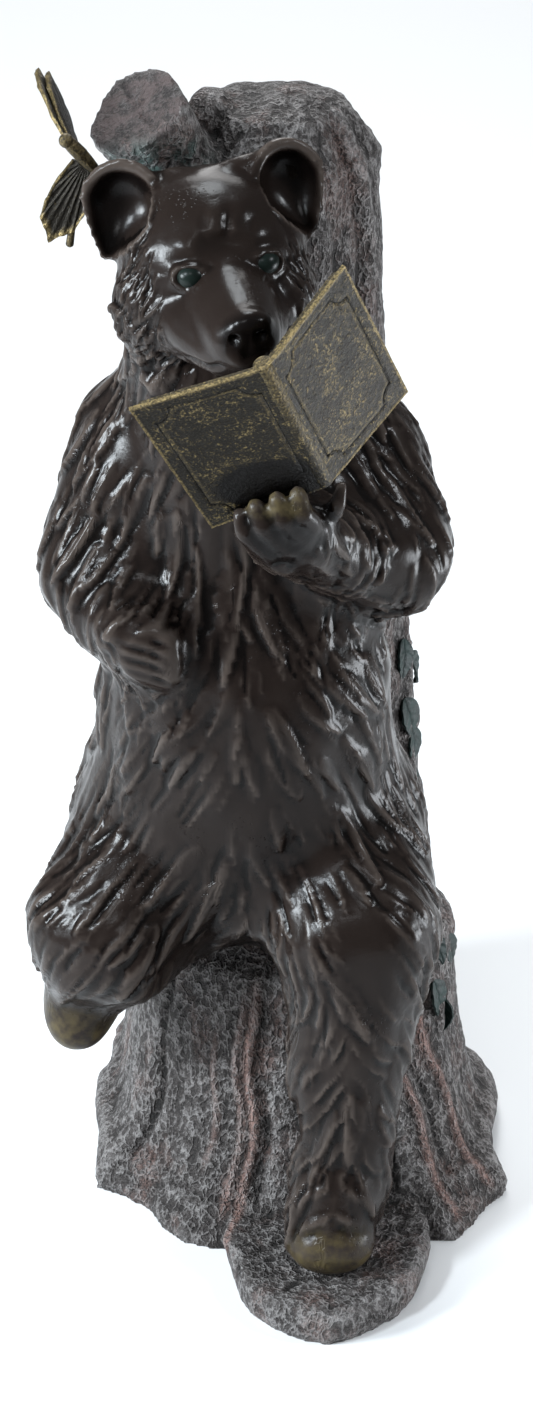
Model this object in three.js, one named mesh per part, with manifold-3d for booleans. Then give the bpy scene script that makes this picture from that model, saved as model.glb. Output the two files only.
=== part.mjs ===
// Garden statue: a bear sits on a tree stump and reads an open book, and a butterfly rests on a branch stub.
// Millimetres, +Z up. The origin is on the ground under the stump, and the bear faces -Y.
import * as THREE from 'three';
import { mergeVertices } from 'three/addons/utils/BufferGeometryUtils.js';
import Module from 'manifold-3d';

const wasm = await Module();
wasm.setup();

// The figure keeps its pose and proportions as shares of the height that its places are written for
const STATUE_HEIGHT = 760;
const DRAWN_HEIGHT = 760;
const share = STATUE_HEIGHT / DRAWN_HEIGHT;

// Clearance between castings that touch
const CASTING_GAP = 0.4;

// Bear
const EAR_RADIUS = 28;
const EAR_RIM = 4;
const EYE_RADIUS = 6.5;
const FINGER_RADIUS = 6.6;
const CLAW_RADIUS = 3;
const FUR_DEPTH = 8;
const LOCK_WIDTH = 34;
const LOCK_LENGTH = 76;
const BEAR_PITCH = 8;
const BEAR_FACES = 3550;

// Stump
const SEAT_HEIGHT = 212;
const TRUNK_TOP = 733;
const TRUNK_TOP_RADIUS = 47;
const TRUNK_ROUNDING = 40;
const TRUNK_CAP_START = 0.84;
const TRUNK_FOOT_RADIUS = 112;
const FOOT_RADIUS = 128;
const SEAT_RADIUS = 97;
const RIM_HEIGHT = 24;
const RIM_STEP = 5;
const BARK_DEPTH = 3.5;
const SLAB_WIDTH = 132;
const SLAB_LENGTH = 156;
const SLAB_THICKNESS = 25;
const STUB_RADIUS = 31;
const STUB_LENGTH = 74;
const STUB_LIP = 1.5;
const VINE_RADIUS = 4;
const LEAF_LENGTH = 30;
const LEAF_THICKNESS = 5;

// Book
const COVER_WIDTH = 75;
const SPINE_LENGTH = 108;
const COVER_FLARE = 1.06;
const COVER_THICKNESS = 2.8;
const PAGES_THICKNESS = 3.4;
const PAGES_MARGIN = 3;
const PAGES_SUNK = 0.5;
const SPINE_RADIUS = 5.6;
const COVER_OPENING = 22;
const LEFT_COVER_LEAN = 3.6;
const RIGHT_COVER_LEAN = -0.9;

// Butterfly
const WING_LENGTH = 62;
const WING_WIDTH = 36;
const WING_THICKNESS = 2.8;
const LOWER_WING_LENGTH = 54;
const LOWER_WING_WIDTH = 46;
const BUTTERFLY_BODY_RADIUS = 4.6;

const at = (x, y, z) => new THREE.Vector3(x, y, z).multiplyScalar(share);
const radians = THREE.MathUtils.degToRad;
const { clamp, lerp, smoothstep } = THREE.MathUtils;
const fraction = (value) => value - Math.floor(value);
const bump = (value, centre, width) => Math.exp(-(((value - centre) / width) ** 2));

// Joining and cutting closed meshes
function solidOf(geometry) {
  const bare = geometry.clone();
  bare.deleteAttribute('normal');
  bare.deleteAttribute('uv');
  const merged = mergeVertices(bare, 1e-3);
  const vertProperties = Float32Array.from(merged.attributes.position.array);
  const triVerts = Uint32Array.from(merged.index.array);
  return new wasm.Manifold(new wasm.Mesh({ numProp: 3, vertProperties, triVerts }));
}

function join(solids) {
  return solids.reduce((whole, solid) => whole.add(solid));
}

// The largest closed body of a solid, without the crumbs that a cut leaves beside it
function mainBody(solid) {
  const mesh = solid.getMesh();
  const owner = Array.from({ length: mesh.vertProperties.length / mesh.numProp }, (_, index) => index);
  const root = (index) => {
    let top = index;
    while (owner[top] !== top) {
      owner[top] = owner[owner[top]];
      top = owner[top];
    }
    return top;
  };
  for (let corner = 0; corner < mesh.triVerts.length; corner += 3) {
    owner[root(mesh.triVerts[corner + 1])] = root(mesh.triVerts[corner]);
    owner[root(mesh.triVerts[corner + 2])] = root(mesh.triVerts[corner]);
  }
  const counts = new Map();
  mesh.triVerts.forEach((vertex) => counts.set(root(vertex), (counts.get(root(vertex)) ?? 0) + 1));
  const largest = [...counts].sort((one, other) => other[1] - one[1])[0][0];
  const kept = [];
  for (let corner = 0; corner < mesh.triVerts.length; corner += 3) {
    if (root(mesh.triVerts[corner]) === largest) {
      kept.push(...mesh.triVerts.slice(corner, corner + 3));
    }
  }
  const positions = [];
  for (let vertex = 0; vertex < owner.length; vertex += 1) {
    positions.push(...mesh.vertProperties.slice(vertex * mesh.numProp, vertex * mesh.numProp + 3));
  }
  const geometry = new THREE.BufferGeometry();
  geometry.setAttribute('position', new THREE.Float32BufferAttribute(positions, 3));
  geometry.setIndex(kept);
  return geometry;
}

// A closed solid of rings: point(along, around) gives a ring's corner, both values from 0 to 1
function loft(rings, sides, point) {
  const positions = [];
  const index = [];
  const centres = [new THREE.Vector3(), new THREE.Vector3()];
  for (let ring = 0; ring <= rings; ring += 1) {
    for (let side = 0; side < sides; side += 1) {
      const corner = point(ring / rings, side / sides);
      positions.push(corner.x, corner.y, corner.z);
      if (ring === 0) {
        centres[0].addScaledVector(corner, 1 / sides);
      }
      if (ring === rings) {
        centres[1].addScaledVector(corner, 1 / sides);
      }
    }
  }
  const first = (rings + 1) * sides;
  centres.forEach((centre) => positions.push(centre.x, centre.y, centre.z));
  for (let side = 0; side < sides; side += 1) {
    const next = (side + 1) % sides;
    for (let ring = 0; ring < rings; ring += 1) {
      const low = ring * sides;
      const high = low + sides;
      index.push(low + side, low + next, high + next);
      index.push(low + side, high + next, high + side);
    }
    index.push(first, next, side);
    index.push(first + 1, rings * sides + side, rings * sides + next);
  }
  const geometry = new THREE.BufferGeometry();
  geometry.setAttribute('position', new THREE.Float32BufferAttribute(positions, 3));
  geometry.setIndex(index);
  return geometry;
}

// A round bar with domed ends between two points
function roundBar(start, end, radius, sides = 6) {
  const span = end.clone().sub(start);
  const bar = new THREE.CapsuleGeometry(radius, span.length(), 2, sides);
  const turn = new THREE.Quaternion().setFromUnitVectors(new THREE.Vector3(0, 1, 0), span.clone().normalize());
  bar.applyQuaternion(turn);
  const middle = start.clone().add(end).multiplyScalar(0.5);
  bar.translate(middle.x, middle.y, middle.z);
  return bar;
}

// A flat outline given a thickness, then laid on three directions from a corner point
function plate(outline, thickness, corner, across, along) {
  const flat = new THREE.ExtrudeGeometry(new THREE.Shape(outline), { depth: thickness, bevelEnabled: false });
  flat.translate(0, 0, -thickness / 2);
  const first = across.clone().normalize();
  const normal = first.clone().cross(along).normalize();
  const second = normal.clone().cross(first);
  const frame = new THREE.Matrix4().makeBasis(first, second, normal).setPosition(corner);
  flat.applyMatrix4(frame);
  return flat;
}

// Distance fields: each gives the rough distance from a point to a form, negative inside it
function egg(centre, radii) {
  return (point) => {
    const x = point.x - centre.x;
    const y = point.y - centre.y;
    const z = point.z - centre.z;
    const near = Math.hypot(x / radii.x, y / radii.y, z / radii.z);
    const slope = Math.hypot(x / radii.x ** 2, y / radii.y ** 2, z / radii.z ** 2);
    return slope < 1e-9 ? -Math.min(radii.x, radii.y, radii.z) : (near * (near - 1)) / slope;
  };
}

function limb(start, end, startRadius, endRadius) {
  const span = end.clone().sub(start);
  const length = span.lengthSq();
  return (point) => {
    const x = point.x - start.x;
    const y = point.y - start.y;
    const z = point.z - start.z;
    const along = clamp((x * span.x + y * span.y + z * span.z) / length, 0, 1);
    const away = Math.hypot(x - along * span.x, y - along * span.y, z - along * span.z);
    return away - share * lerp(startRadius, endRadius, along);
  };
}

function blended(one, other, radius) {
  const mix = clamp(0.5 + (0.5 * (other - one)) / radius, 0, 1);
  return lerp(other, one, mix) - radius * mix * (1 - mix);
}

// Fur lies in wavy strands of pointed locks: a groove beside each strand, and a step where a lock's tip ends
function furLock(across, along) {
  const sway = 0.35 * Math.sin((2.4 * along) / LOCK_LENGTH + (1.1 * across) / LOCK_WIDTH);
  const column = across / LOCK_WIDTH + sway;
  const stagger = fraction(0.618 * Math.floor(column));
  const drop = fraction(along / LOCK_LENGTH + stagger);
  const crest = Math.sin(Math.PI * fraction(column)) ** 0.7;
  return crest * (0.35 + 0.65 * drop) - 0.4;
}

// Polygons of a field: one point in each cell that the surface passes, joined across the crossed edges
const CELL_CORNERS = [0, 1, 2, 3, 4, 5, 6, 7].map((corner) => [corner & 1, (corner >> 1) & 1, corner >> 2]);
const CELL_EDGES = [];
for (let corner = 0; corner < 8; corner += 1) {
  [1, 2, 4].filter((step) => !(corner & step)).forEach((step) => CELL_EDGES.push([corner, corner + step]));
}

function isOnePatch(inside, wanted) {
  const members = CELL_CORNERS.map((_, corner) => corner).filter((corner) => ((inside >> corner) & 1) === wanted);
  if (members.length === 0) {
    return true;
  }
  const reached = new Set([members[0]]);
  for (let pass = 0; pass < 8; pass += 1) {
    CELL_EDGES.forEach(([one, other]) => {
      const both = members.includes(one) && members.includes(other);
      if (both && (reached.has(one) || reached.has(other))) {
        reached.add(one).add(other);
      }
    });
  }
  return reached.size === members.length;
}

const SOUND_CELL = Array.from({ length: 256 }, (_, inside) => isOnePatch(inside, 1) && isOnePatch(inside, 0));

function polygonsOf(field, low, high, pitch) {
  const size = [high.x - low.x, high.y - low.y, high.z - low.z].map((span) => Math.ceil(span / pitch) + 1);
  const [wide, deep, tall] = size;
  const strides = [1, wide, wide * deep];
  const values = new Float64Array(wide * deep * tall);
  const point = new THREE.Vector3();
  const place = (cell) => {
    const x = cell % wide;
    const y = Math.floor(cell / wide) % deep;
    const z = Math.floor(cell / strides[2]);
    return [x, y, z];
  };
  for (let cell = 0; cell < values.length; cell += 1) {
    const [x, y, z] = place(cell);
    point.set(low.x + x * pitch, low.y + y * pitch, low.z + z * pitch);
    values[cell] = field(point);
  }
  const cornerOffsets = CELL_CORNERS.map(([x, y, z]) => x + y * strides[1] + z * strides[2]);
  const insideOf = (cell) => {
    let inside = 0;
    cornerOffsets.forEach((offset, corner) => {
      inside |= (values[cell + offset] < 0 ? 1 : 0) << corner;
    });
    return inside;
  };
  const cells = [];
  for (let z = 0; z < tall - 1; z += 1) {
    for (let y = 0; y < deep - 1; y += 1) {
      for (let x = 0; x < wide - 1; x += 1) {
        cells.push(x + y * strides[1] + z * strides[2]);
      }
    }
  }
  // A cell where two sheets would meet is filled until one sheet passes it, so that every edge joins two faces
  let mended = true;
  while (mended) {
    mended = false;
    for (const cell of cells) {
      if (!SOUND_CELL[insideOf(cell)]) {
        const outside = cornerOffsets.filter((offset) => values[cell + offset] >= 0);
        outside.sort((one, other) => values[cell + one] - values[cell + other]);
        values[cell + outside[0]] = -0.01 * pitch;
        mended = true;
      }
    }
  }
  const points = [];
  const pointOf = new Map();
  for (const cell of cells) {
    const inside = insideOf(cell);
    if (inside !== 0 && inside !== 255) {
      const sum = new THREE.Vector3();
      let crossings = 0;
      CELL_EDGES.forEach(([one, other]) => {
        const start = values[cell + cornerOffsets[one]];
        const end = values[cell + cornerOffsets[other]];
        if (start < 0 !== end < 0) {
          const along = clamp(start / (start - end), 0.02, 0.98);
          const [x0, y0, z0] = CELL_CORNERS[one];
          const [x1, y1, z1] = CELL_CORNERS[other];
          sum.add(point.set(lerp(x0, x1, along), lerp(y0, y1, along), lerp(z0, z1, along)));
          crossings += 1;
        }
      });
      const [x, y, z] = place(cell);
      sum.multiplyScalar(1 / crossings).add(point.set(x, y, z));
      pointOf.set(cell, points.length);
      points.push(sum.multiplyScalar(pitch).add(low));
    }
  }
  const faces = [];
  for (const cell of cells) {
    for (let axis = 0; axis < 3; axis += 1) {
      const start = values[cell] < 0;
      const end = values[cell + strides[axis]] < 0;
      const one = strides[(axis + 1) % 3];
      const other = strides[(axis + 2) % 3];
      const ring = [cell, cell - one, cell - one - other, cell - other].map((near) => pointOf.get(near));
      if (start !== end && ring.every((corner) => corner !== undefined)) {
        const [a, b, c, d] = start ? ring : ring.reverse();
        faces.push([a, b, c], [a, c, d]);
      }
    }
  }
  return { points, faces };
}

// Fewer faces on the same form: the edge whose loss changes the surface least goes first
function thinned({ points, faces }, wanted, weight) {
  const edgesOf = points.map(() => new Set());
  const planes = points.map(() => new Float64Array(10));
  const versions = new Int32Array(points.length);
  const side = new THREE.Vector3();
  const other = new THREE.Vector3();
  const normalOf = (a, b, c, target) => {
    side.subVectors(b, a);
    other.subVectors(c, a);
    return target.crossVectors(side, other);
  };
  const normal = new THREE.Vector3();
  faces.forEach((face, number) => {
    normalOf(...face.map((vertex) => points[vertex]), normal);
    const area = normal.length() * weight(points[face[0]]);
    normal.normalize();
    const { x, y, z } = normal;
    const w = -normal.dot(points[face[0]]);
    const terms = [x * x, x * y, x * z, x * w, y * y, y * z, y * w, z * z, z * w, w * w];
    face.forEach((vertex) => {
      edgesOf[vertex].add(number);
      terms.forEach((term, entry) => {
        planes[vertex][entry] += term * area;
      });
    });
  });
  const errorAt = (q, p) => {
    const { x, y, z } = p;
    const squares = q[0] * x * x + q[4] * y * y + q[7] * z * z + q[9];
    return squares + 2 * (q[1] * x * y + q[2] * x * z + q[3] * x + q[5] * y * z + q[6] * y + q[8] * z);
  };
  const system = new THREE.Matrix3();
  const heap = [];
  const swap = (one, two) => {
    [heap[one], heap[two]] = [heap[two], heap[one]];
  };
  const push = (entry) => {
    let spot = heap.push(entry) - 1;
    while (spot > 0 && heap[(spot - 1) >> 1].cost > heap[spot].cost) {
      swap(spot, (spot - 1) >> 1);
      spot = (spot - 1) >> 1;
    }
  };
  const pop = () => {
    const top = heap[0];
    const last = heap.pop();
    if (heap.length > 0) {
      heap[0] = last;
      let spot = 0;
      for (;;) {
        let least = 2 * spot + 1;
        if (least >= heap.length) {
          break;
        }
        if (least + 1 < heap.length && heap[least + 1].cost < heap[least].cost) {
          least += 1;
        }
        if (heap[spot].cost <= heap[least].cost) {
          break;
        }
        swap(spot, least);
        spot = least;
      }
    }
    return top;
  };
  const offer = (one, two) => {
    const q = planes[one].map((value, entry) => value + planes[two][entry]);
    const middle = points[one].clone().add(points[two]).multiplyScalar(0.5);
    const length = points[one].distanceTo(points[two]);
    system.set(q[0], q[1], q[2], q[1], q[4], q[5], q[2], q[5], q[7]);
    let spot = middle;
    if (Math.abs(system.determinant()) > 1e-4 * (q[0] + q[4] + q[7]) ** 3) {
      const best = new THREE.Vector3(-q[3], -q[6], -q[8]).applyMatrix3(system.invert());
      spot = best.distanceTo(middle) < length ? best : middle;
    }
    const cost = Math.max(errorAt(q, spot), 0) + 1e-3 * length ** 3;
    push({ cost, one, two, spot, ages: versions[one] + versions[two] });
  };
  const ringOf = (vertex) => new Set([...edgesOf[vertex]].flatMap((face) => faces[face]));
  const turned = new THREE.Vector3();
  const keepsItsSide = (vertex, gone, spot) => [...edgesOf[vertex]].every((number) => {
    if (faces[number].includes(gone)) {
      return true;
    }
    const corners = faces[number].map((corner) => points[corner]);
    const moved = faces[number].map((corner) => (corner === vertex ? spot : points[corner]));
    normalOf(...corners, normal).normalize();
    normalOf(...moved, turned);
    return turned.dot(normal) > 0.35 * turned.length() && turned.length() > 1e-3;
  });
  points.forEach((_, vertex) => {
    ringOf(vertex).forEach((near) => {
      if (near > vertex) {
        offer(vertex, near);
      }
    });
  });
  let left = faces.length;
  while (left > wanted && heap.length > 0) {
    const { one, two, spot, ages } = pop();
    const live = edgesOf[one].size > 0 && edgesOf[two].size > 0 && versions[one] + versions[two] === ages;
    const ring = live ? ringOf(one) : new Set();
    const shared = live ? [...ringOf(two)].filter((vertex) => ring.has(vertex)) : [];
    const sound = shared.length === 4 && ring.has(two);
    if (sound && keepsItsSide(one, two, spot) && keepsItsSide(two, one, spot)) {
      [...edgesOf[two]].forEach((number) => {
        if (faces[number].includes(one)) {
          faces[number].forEach((vertex) => edgesOf[vertex].delete(number));
          faces[number] = null;
          left -= 1;
        } else {
          faces[number] = faces[number].map((vertex) => (vertex === two ? one : vertex));
          edgesOf[one].add(number);
        }
      });
      edgesOf[two].clear();
      planes[one] = planes[one].map((value, entry) => value + planes[two][entry]);
      points[one].copy(spot);
      versions[one] += 1;
      ringOf(one).forEach((near) => {
        if (near !== one) {
          offer(one, near);
        }
      });
    }
  }
  const geometry = new THREE.BufferGeometry();
  geometry.setAttribute('position', new THREE.Float32BufferAttribute(points.flatMap((p) => [p.x, p.y, p.z]), 3));
  geometry.setIndex(faces.filter((face) => face !== null).flat());
  return geometry;
}

// Stump: the base under the seat, the trunk behind the bear, the front slab, the sawn stub and the vine
const baseCentre = at(20, -30, 0);
const trunkCentre = at(14, 32, 0);
const trunkTopCentre = at(14, 34, 0);

const roots = [
  { heading: 204, reach: 22, width: 9 },
  { heading: 238, reach: 16, width: 15 },
  { heading: 262, reach: 8, width: 6 },
  { heading: 288, reach: 10, width: 12 },
  { heading: 314, reach: 36, width: 9 },
  { heading: 333, reach: 33, width: 9 },
  { heading: 20, reach: 13, width: 14 },
  { heading: 70, reach: 20, width: 12 },
  { heading: 118, reach: 22, width: 13 },
  { heading: 160, reach: 11, width: 14 },
];

const angleFrom = (heading, wanted) => ((((heading - wanted) % 360) + 540) % 360) - 180;

function barkRidge(heading, height) {
  const lean = 9 * Math.sin(height / 90) + 5 * Math.sin(height / 37 + 1);
  const groove = Math.abs(Math.sin(radians((heading + lean) * 5.5)));
  return BARK_DEPTH * (groove - 0.6) + 1.2 * Math.sin(height / 23 + heading / 11);
}

function basePoint(climb, around, gap) {
  const height = share * SEAT_HEIGHT * climb;
  const heading = 360 * around;
  const front = Math.max(0, -Math.sin(radians(heading)));
  const flare = Math.exp(-2.3 * climb);
  const radius = lerp(SEAT_RADIUS, FOOT_RADIUS, flare) - front * (6 + 26 * climb);
  const spread = roots.reduce((sum, root) => {
    const near = bump(angleFrom(heading, root.heading), 0, root.width);
    return sum + root.reach * near * (0.1 + 0.9 * flare ** 2);
  }, 0);
  const step = RIM_STEP * (1 - smoothstep(height, share * RIM_HEIGHT, share * (RIM_HEIGHT + 9)));
  const rounding = smoothstep(climb, 0.9, 1) * 26;
  const reach = share * (radius + spread + step + barkRidge(heading, height) * climb - rounding) + gap;
  const direction = new THREE.Vector3(Math.cos(radians(heading)), Math.sin(radians(heading)), 0);
  const lift = climb === 0 ? -gap : height + gap * smoothstep(climb, 0.8, 1);
  return baseCentre.clone().addScaledVector(direction, reach).setZ(lift);
}

function trunkPoint(along, around, gap) {
  const top = share * TRUNK_TOP;
  const cap = smoothstep(along, TRUNK_CAP_START, 1);
  const onWall = along < TRUNK_CAP_START;
  const shoulder = top - share * TRUNK_ROUNDING;
  const wallHeight = (along / TRUNK_CAP_START) * shoulder;
  const height = onWall ? wallHeight : lerp(shoulder, top, Math.sin((cap * Math.PI) / 2));
  const heading = 360 * around;
  const climb = height / top;
  const foot = Math.exp(-5.5 * climb);
  const side = Math.abs(Math.cos(radians(heading)));
  const waist = 5 * bump(climb, 0.93, 0.09);
  const radius = lerp(TRUNK_FOOT_RADIUS, TRUNK_TOP_RADIUS, Math.min(1, climb * 1.1)) - 9 * (1 - side) * (1 - climb);
  const flareOut = 8 * foot;
  const leftShoulder = bump(angleFrom(heading, 190), 0, 60);
  const lobes = 3.5 * Math.sin(radians(heading * 3 + 40)) + 2.5 * Math.sin(radians(heading * 5 + 100));
  const spread = lobes * smoothstep(climb, 0.4, 0.9) + 9 * leftShoulder * smoothstep(climb, 0.75, 0.95);
  const swell = radius + flareOut + waist + spread + barkRidge(heading, height);
  const domed = Math.cos(cap * 1.35) ** lerp(1.1, 0.45, leftShoulder);
  const reach = share * swell * (onWall ? 1 : domed) + gap;
  const centre = trunkCentre.clone().lerp(trunkTopCentre, climb);
  const direction = new THREE.Vector3(Math.cos(radians(heading)), Math.sin(radians(heading)), 0);
  const nearTop = smoothstep(along, TRUNK_CAP_START - 0.14, TRUNK_CAP_START) * (1 - cap);
  const upperHalf = smoothstep(along, TRUNK_CAP_START - 0.34, TRUNK_CAP_START) * (1 - cap);
  const ripple = share * 4 * Math.sin(radians(heading * 2 + 30)) * nearTop;
  const slant = share * 5 * Math.cos(radians(heading)) * upperHalf;
  const lift = along === 0 ? -gap : height + ripple - slant + gap * cap;
  return centre.addScaledVector(direction, reach).setZ(lift);
}

function slabPoint(along, around, gap) {
  const heading = 2 * Math.PI * around;
  const wobble = 1 + 0.03 * Math.sin(3 * heading + 0.6) + 0.02 * Math.sin(7 * heading);
  const edge = smoothstep(along, 0.5, 1);
  const inset = share * 5 * edge;
  const centre = at(39, -170, 0);
  const x = centre.x + (share * SLAB_WIDTH / 2 - inset + gap) * wobble * Math.cos(heading);
  const y = centre.y + (share * SLAB_LENGTH / 2 - inset + gap) * wobble * Math.sin(heading);
  const top = share * SLAB_THICKNESS + gap;
  const height = along < 0.5 ? lerp(-gap, top * 0.82, along * 2) : lerp(top * 0.82, top, Math.sqrt(edge));
  return new THREE.Vector3(x, y, height);
}

const stubFoot = at(-46, 16, 681);
const stubAxis = new THREE.Vector3(-0.4, -0.42, 0.81).normalize();
const stubEast = new THREE.Vector3(0, 0, 1).cross(stubAxis).normalize();
const stubNorth = stubAxis.clone().cross(stubEast);
const stubFace = stubFoot.clone().addScaledVector(stubAxis, share * STUB_LENGTH);

function stubPoint(along, around, gap) {
  const heading = 2 * Math.PI * around;
  const flare = 4 * smoothstep(along, 0.62, 0.95) + 12 * (1 - smoothstep(along, 0, 0.5));
  const lip = along === 1 ? STUB_LIP : 0;
  const wobble = 1.6 * Math.sin(3 * heading + 1) + 1.1 * Math.sin(5 * heading);
  const reach = share * (STUB_RADIUS - 4 + flare - lip + wobble) + gap;
  const lift = share * STUB_LENGTH * along + (along === 1 ? gap : 0);
  const spot = stubFoot.clone().addScaledVector(stubAxis, lift);
  spot.addScaledVector(stubEast, reach * Math.cos(heading));
  return spot.addScaledVector(stubNorth, reach * Math.sin(heading));
}

// The vine climbs the right of the stump, half sunk into the bark, in one run below the seat and one above it
const vineRuns = [
  { onto: 'base', from: 118, to: 186 },
  { onto: 'trunk', from: 236, to: 364 },
];

const vineHeading = (height) => -16 + 6 * Math.sin(height / 26);

function barkSpot(onto, height, heading, proud) {
  const around = (((heading % 360) + 360) % 360) / 360;
  if (onto === 'base') {
    return basePoint(height / SEAT_HEIGHT, around, proud);
  }
  return trunkPoint((TRUNK_CAP_START * height) / (TRUNK_TOP - TRUNK_ROUNDING), around, proud);
}

function leafGeometry(middle, heading, tilt, gap) {
  const leaf = new THREE.SphereGeometry(0.5, 6, 4);
  const sizes = [LEAF_THICKNESS, LEAF_LENGTH * 0.62, LEAF_LENGTH].map((size) => share * size + 2 * gap);
  leaf.scale(...sizes);
  leaf.rotateX(radians(tilt));
  leaf.rotateZ(radians(heading));
  leaf.translate(middle.x, middle.y, middle.z);
  return leaf;
}

function vineSolids(gap) {
  return vineRuns.flatMap(({ onto, from, to }) => {
    const count = Math.round((to - from) / LEAF_LENGTH);
    const heights = Array.from({ length: count + 1 }, (_, index) => lerp(from, to, index / count));
    const spots = heights.map((height) => barkSpot(onto, height, vineHeading(height), -1));
    const stems = spots.slice(1).map((spot, index) => roundBar(spots[index], spot, share * VINE_RADIUS + gap));
    const leaves = heights.map((height, index) => {
      const hand = index % 2 === 0 ? 1 : -1;
      const heading = vineHeading(height) + 10 * hand;
      return leafGeometry(barkSpot(onto, height + 6, heading, 0), heading, 40 * hand + 12 * index, gap);
    });
    return [...stems, ...leaves].map(solidOf);
  });
}

function stumpSolid(gap) {
  const base = solidOf(loft(8, 44, (along, around) => basePoint(along ** 1.4, around, gap)));
  const trunk = solidOf(loft(15, 24, (along, around) => trunkPoint(along, around, gap)));
  const slab = solidOf(loft(4, 24, (along, around) => slabPoint(along, around, gap)));
  const stub = solidOf(loft(4, 16, (along, around) => stubPoint(along, around, gap)));
  return join([base, trunk, slab, stub, ...vineSolids(gap)]);
}

// Book: two covers with page blocks inside them, set out from the middle of the spine
const bookFrame = new THREE.Matrix4().makeRotationFromEuler(
  new THREE.Euler(radians(22.9), radians(-19), radians(29.5), 'XYZ'),
).setPosition(at(16.6, -195, 626.6));

function coverPlate(hand, thickness, inset, margin, gap) {
  const opening = radians(COVER_OPENING);
  const lean = radians(hand < 0 ? LEFT_COVER_LEAN : RIGHT_COVER_LEAN);
  const outward = new THREE.Vector3(hand * Math.cos(opening), Math.sin(opening), 0);
  const inward = new THREE.Vector3(-hand * Math.sin(opening), Math.cos(opening), 0);
  const edgeUp = new THREE.Vector3(0, 0, Math.cos(lean)).addScaledVector(outward, Math.sin(lean));
  const corners = [];
  for (const depth of [inset - gap, inset + thickness + gap]) {
    for (const [isFar, end] of [[false, -1], [true, -1], [true, 1], [false, 1]]) {
      const half = SPINE_LENGTH / 2 - margin + gap;
      const up = new THREE.Vector3(0, 0, end * half);
      if (isFar) {
        up.copy(edgeUp).multiplyScalar(end * (half + (SPINE_LENGTH / 2) * (COVER_FLARE - 1)));
      }
      const reach = isFar ? COVER_WIDTH - margin + gap : -gap;
      const corner = outward.clone().multiplyScalar(reach).add(up).addScaledVector(inward, depth);
      corners.push(corner.multiplyScalar(share));
    }
  }
  const box = new THREE.BufferGeometry();
  box.setAttribute('position', new THREE.Float32BufferAttribute(corners.flatMap((c) => [c.x, c.y, c.z]), 3));
  const quads = [[0, 3, 2, 1], [4, 5, 6, 7], [0, 1, 5, 4], [1, 2, 6, 5], [2, 3, 7, 6], [3, 0, 4, 7]];
  const turned = hand > 0 ? quads.map((quad) => [...quad].reverse()) : quads;
  box.setIndex(turned.flatMap(([a, b, c, d]) => [a, b, c, a, c, d]));
  return box;
}

function bookSolid(gap) {
  const spine = new THREE.CylinderGeometry(share * SPINE_RADIUS + gap, share * SPINE_RADIUS + gap, 1, 14);
  spine.scale(1, share * SPINE_LENGTH + 2 * gap, 1);
  spine.rotateX(Math.PI / 2);
  spine.translate(0, share * SPINE_RADIUS * 0.55, 0);
  const covers = [-1, 1].flatMap((hand) => [
    coverPlate(hand, COVER_THICKNESS, 0, 0, gap),
    coverPlate(hand, PAGES_THICKNESS + PAGES_SUNK, COVER_THICKNESS - PAGES_SUNK, PAGES_MARGIN, gap),
  ]);
  const pieces = [spine, ...covers].map((piece) => solidOf(piece.applyMatrix4(bookFrame)));
  return join(pieces);
}

// Butterfly: the upper wings stand back from the body, and the lower wings hang in front of the stub
const butterflyHead = at(-116, -44, 734);
const butterflyTail = at(-106, -38, 734).addScaledVector(new THREE.Vector3(0.25, 0.1, -1), share * 20);

function wingOutline(length, width, scallops) {
  const points = [];
  const steps = 18;
  for (let step = 0; step <= steps; step += 1) {
    const turn = step / steps;
    const spread = Math.sin(Math.PI * turn) ** 0.75;
    const notch = 1 - 0.07 * Math.abs(Math.sin(Math.PI * scallops * turn)) * Math.sin(Math.PI * turn);
    const swing = (turn - 0.5) * width;
    points.push(new THREE.Vector2(share * length * spread * notch, share * swing * (0.25 + 0.75 * spread)));
  }
  return points;
}

function butterflyGeometry() {
  const body = roundBar(butterflyTail, butterflyHead, share * BUTTERFLY_BODY_RADIUS, 10);
  const upperRoot = at(-112, -38, 728);
  const upper = wingOutline(WING_LENGTH, WING_WIDTH, 2);
  const lower = wingOutline(LOWER_WING_LENGTH, LOWER_WING_WIDTH, 4);
  const thick = share * WING_THICKNESS;
  const wings = [
    plate(upper, thick, upperRoot, new THREE.Vector3(-0.33, 0.82, 0.48), new THREE.Vector3(0.22, 0.9, -0.38)),
    plate(upper, thick, upperRoot, new THREE.Vector3(-0.18, 0.86, 0.48), new THREE.Vector3(0.1, 0.9, -0.4)),
    plate(lower, thick, at(-104, -32, 717), new THREE.Vector3(-0.42, 0.05, -0.9), new THREE.Vector3(0.9, 0, -0.42)),
  ];
  const tail = roundBar(at(-114, -30, 676), at(-116, -30, 662), share * 2.6);
  const whole = join([body, ...wings, tail].map(solidOf));
  return mainBody(whole.subtract(stumpSolid(CASTING_GAP)));
}

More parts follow.
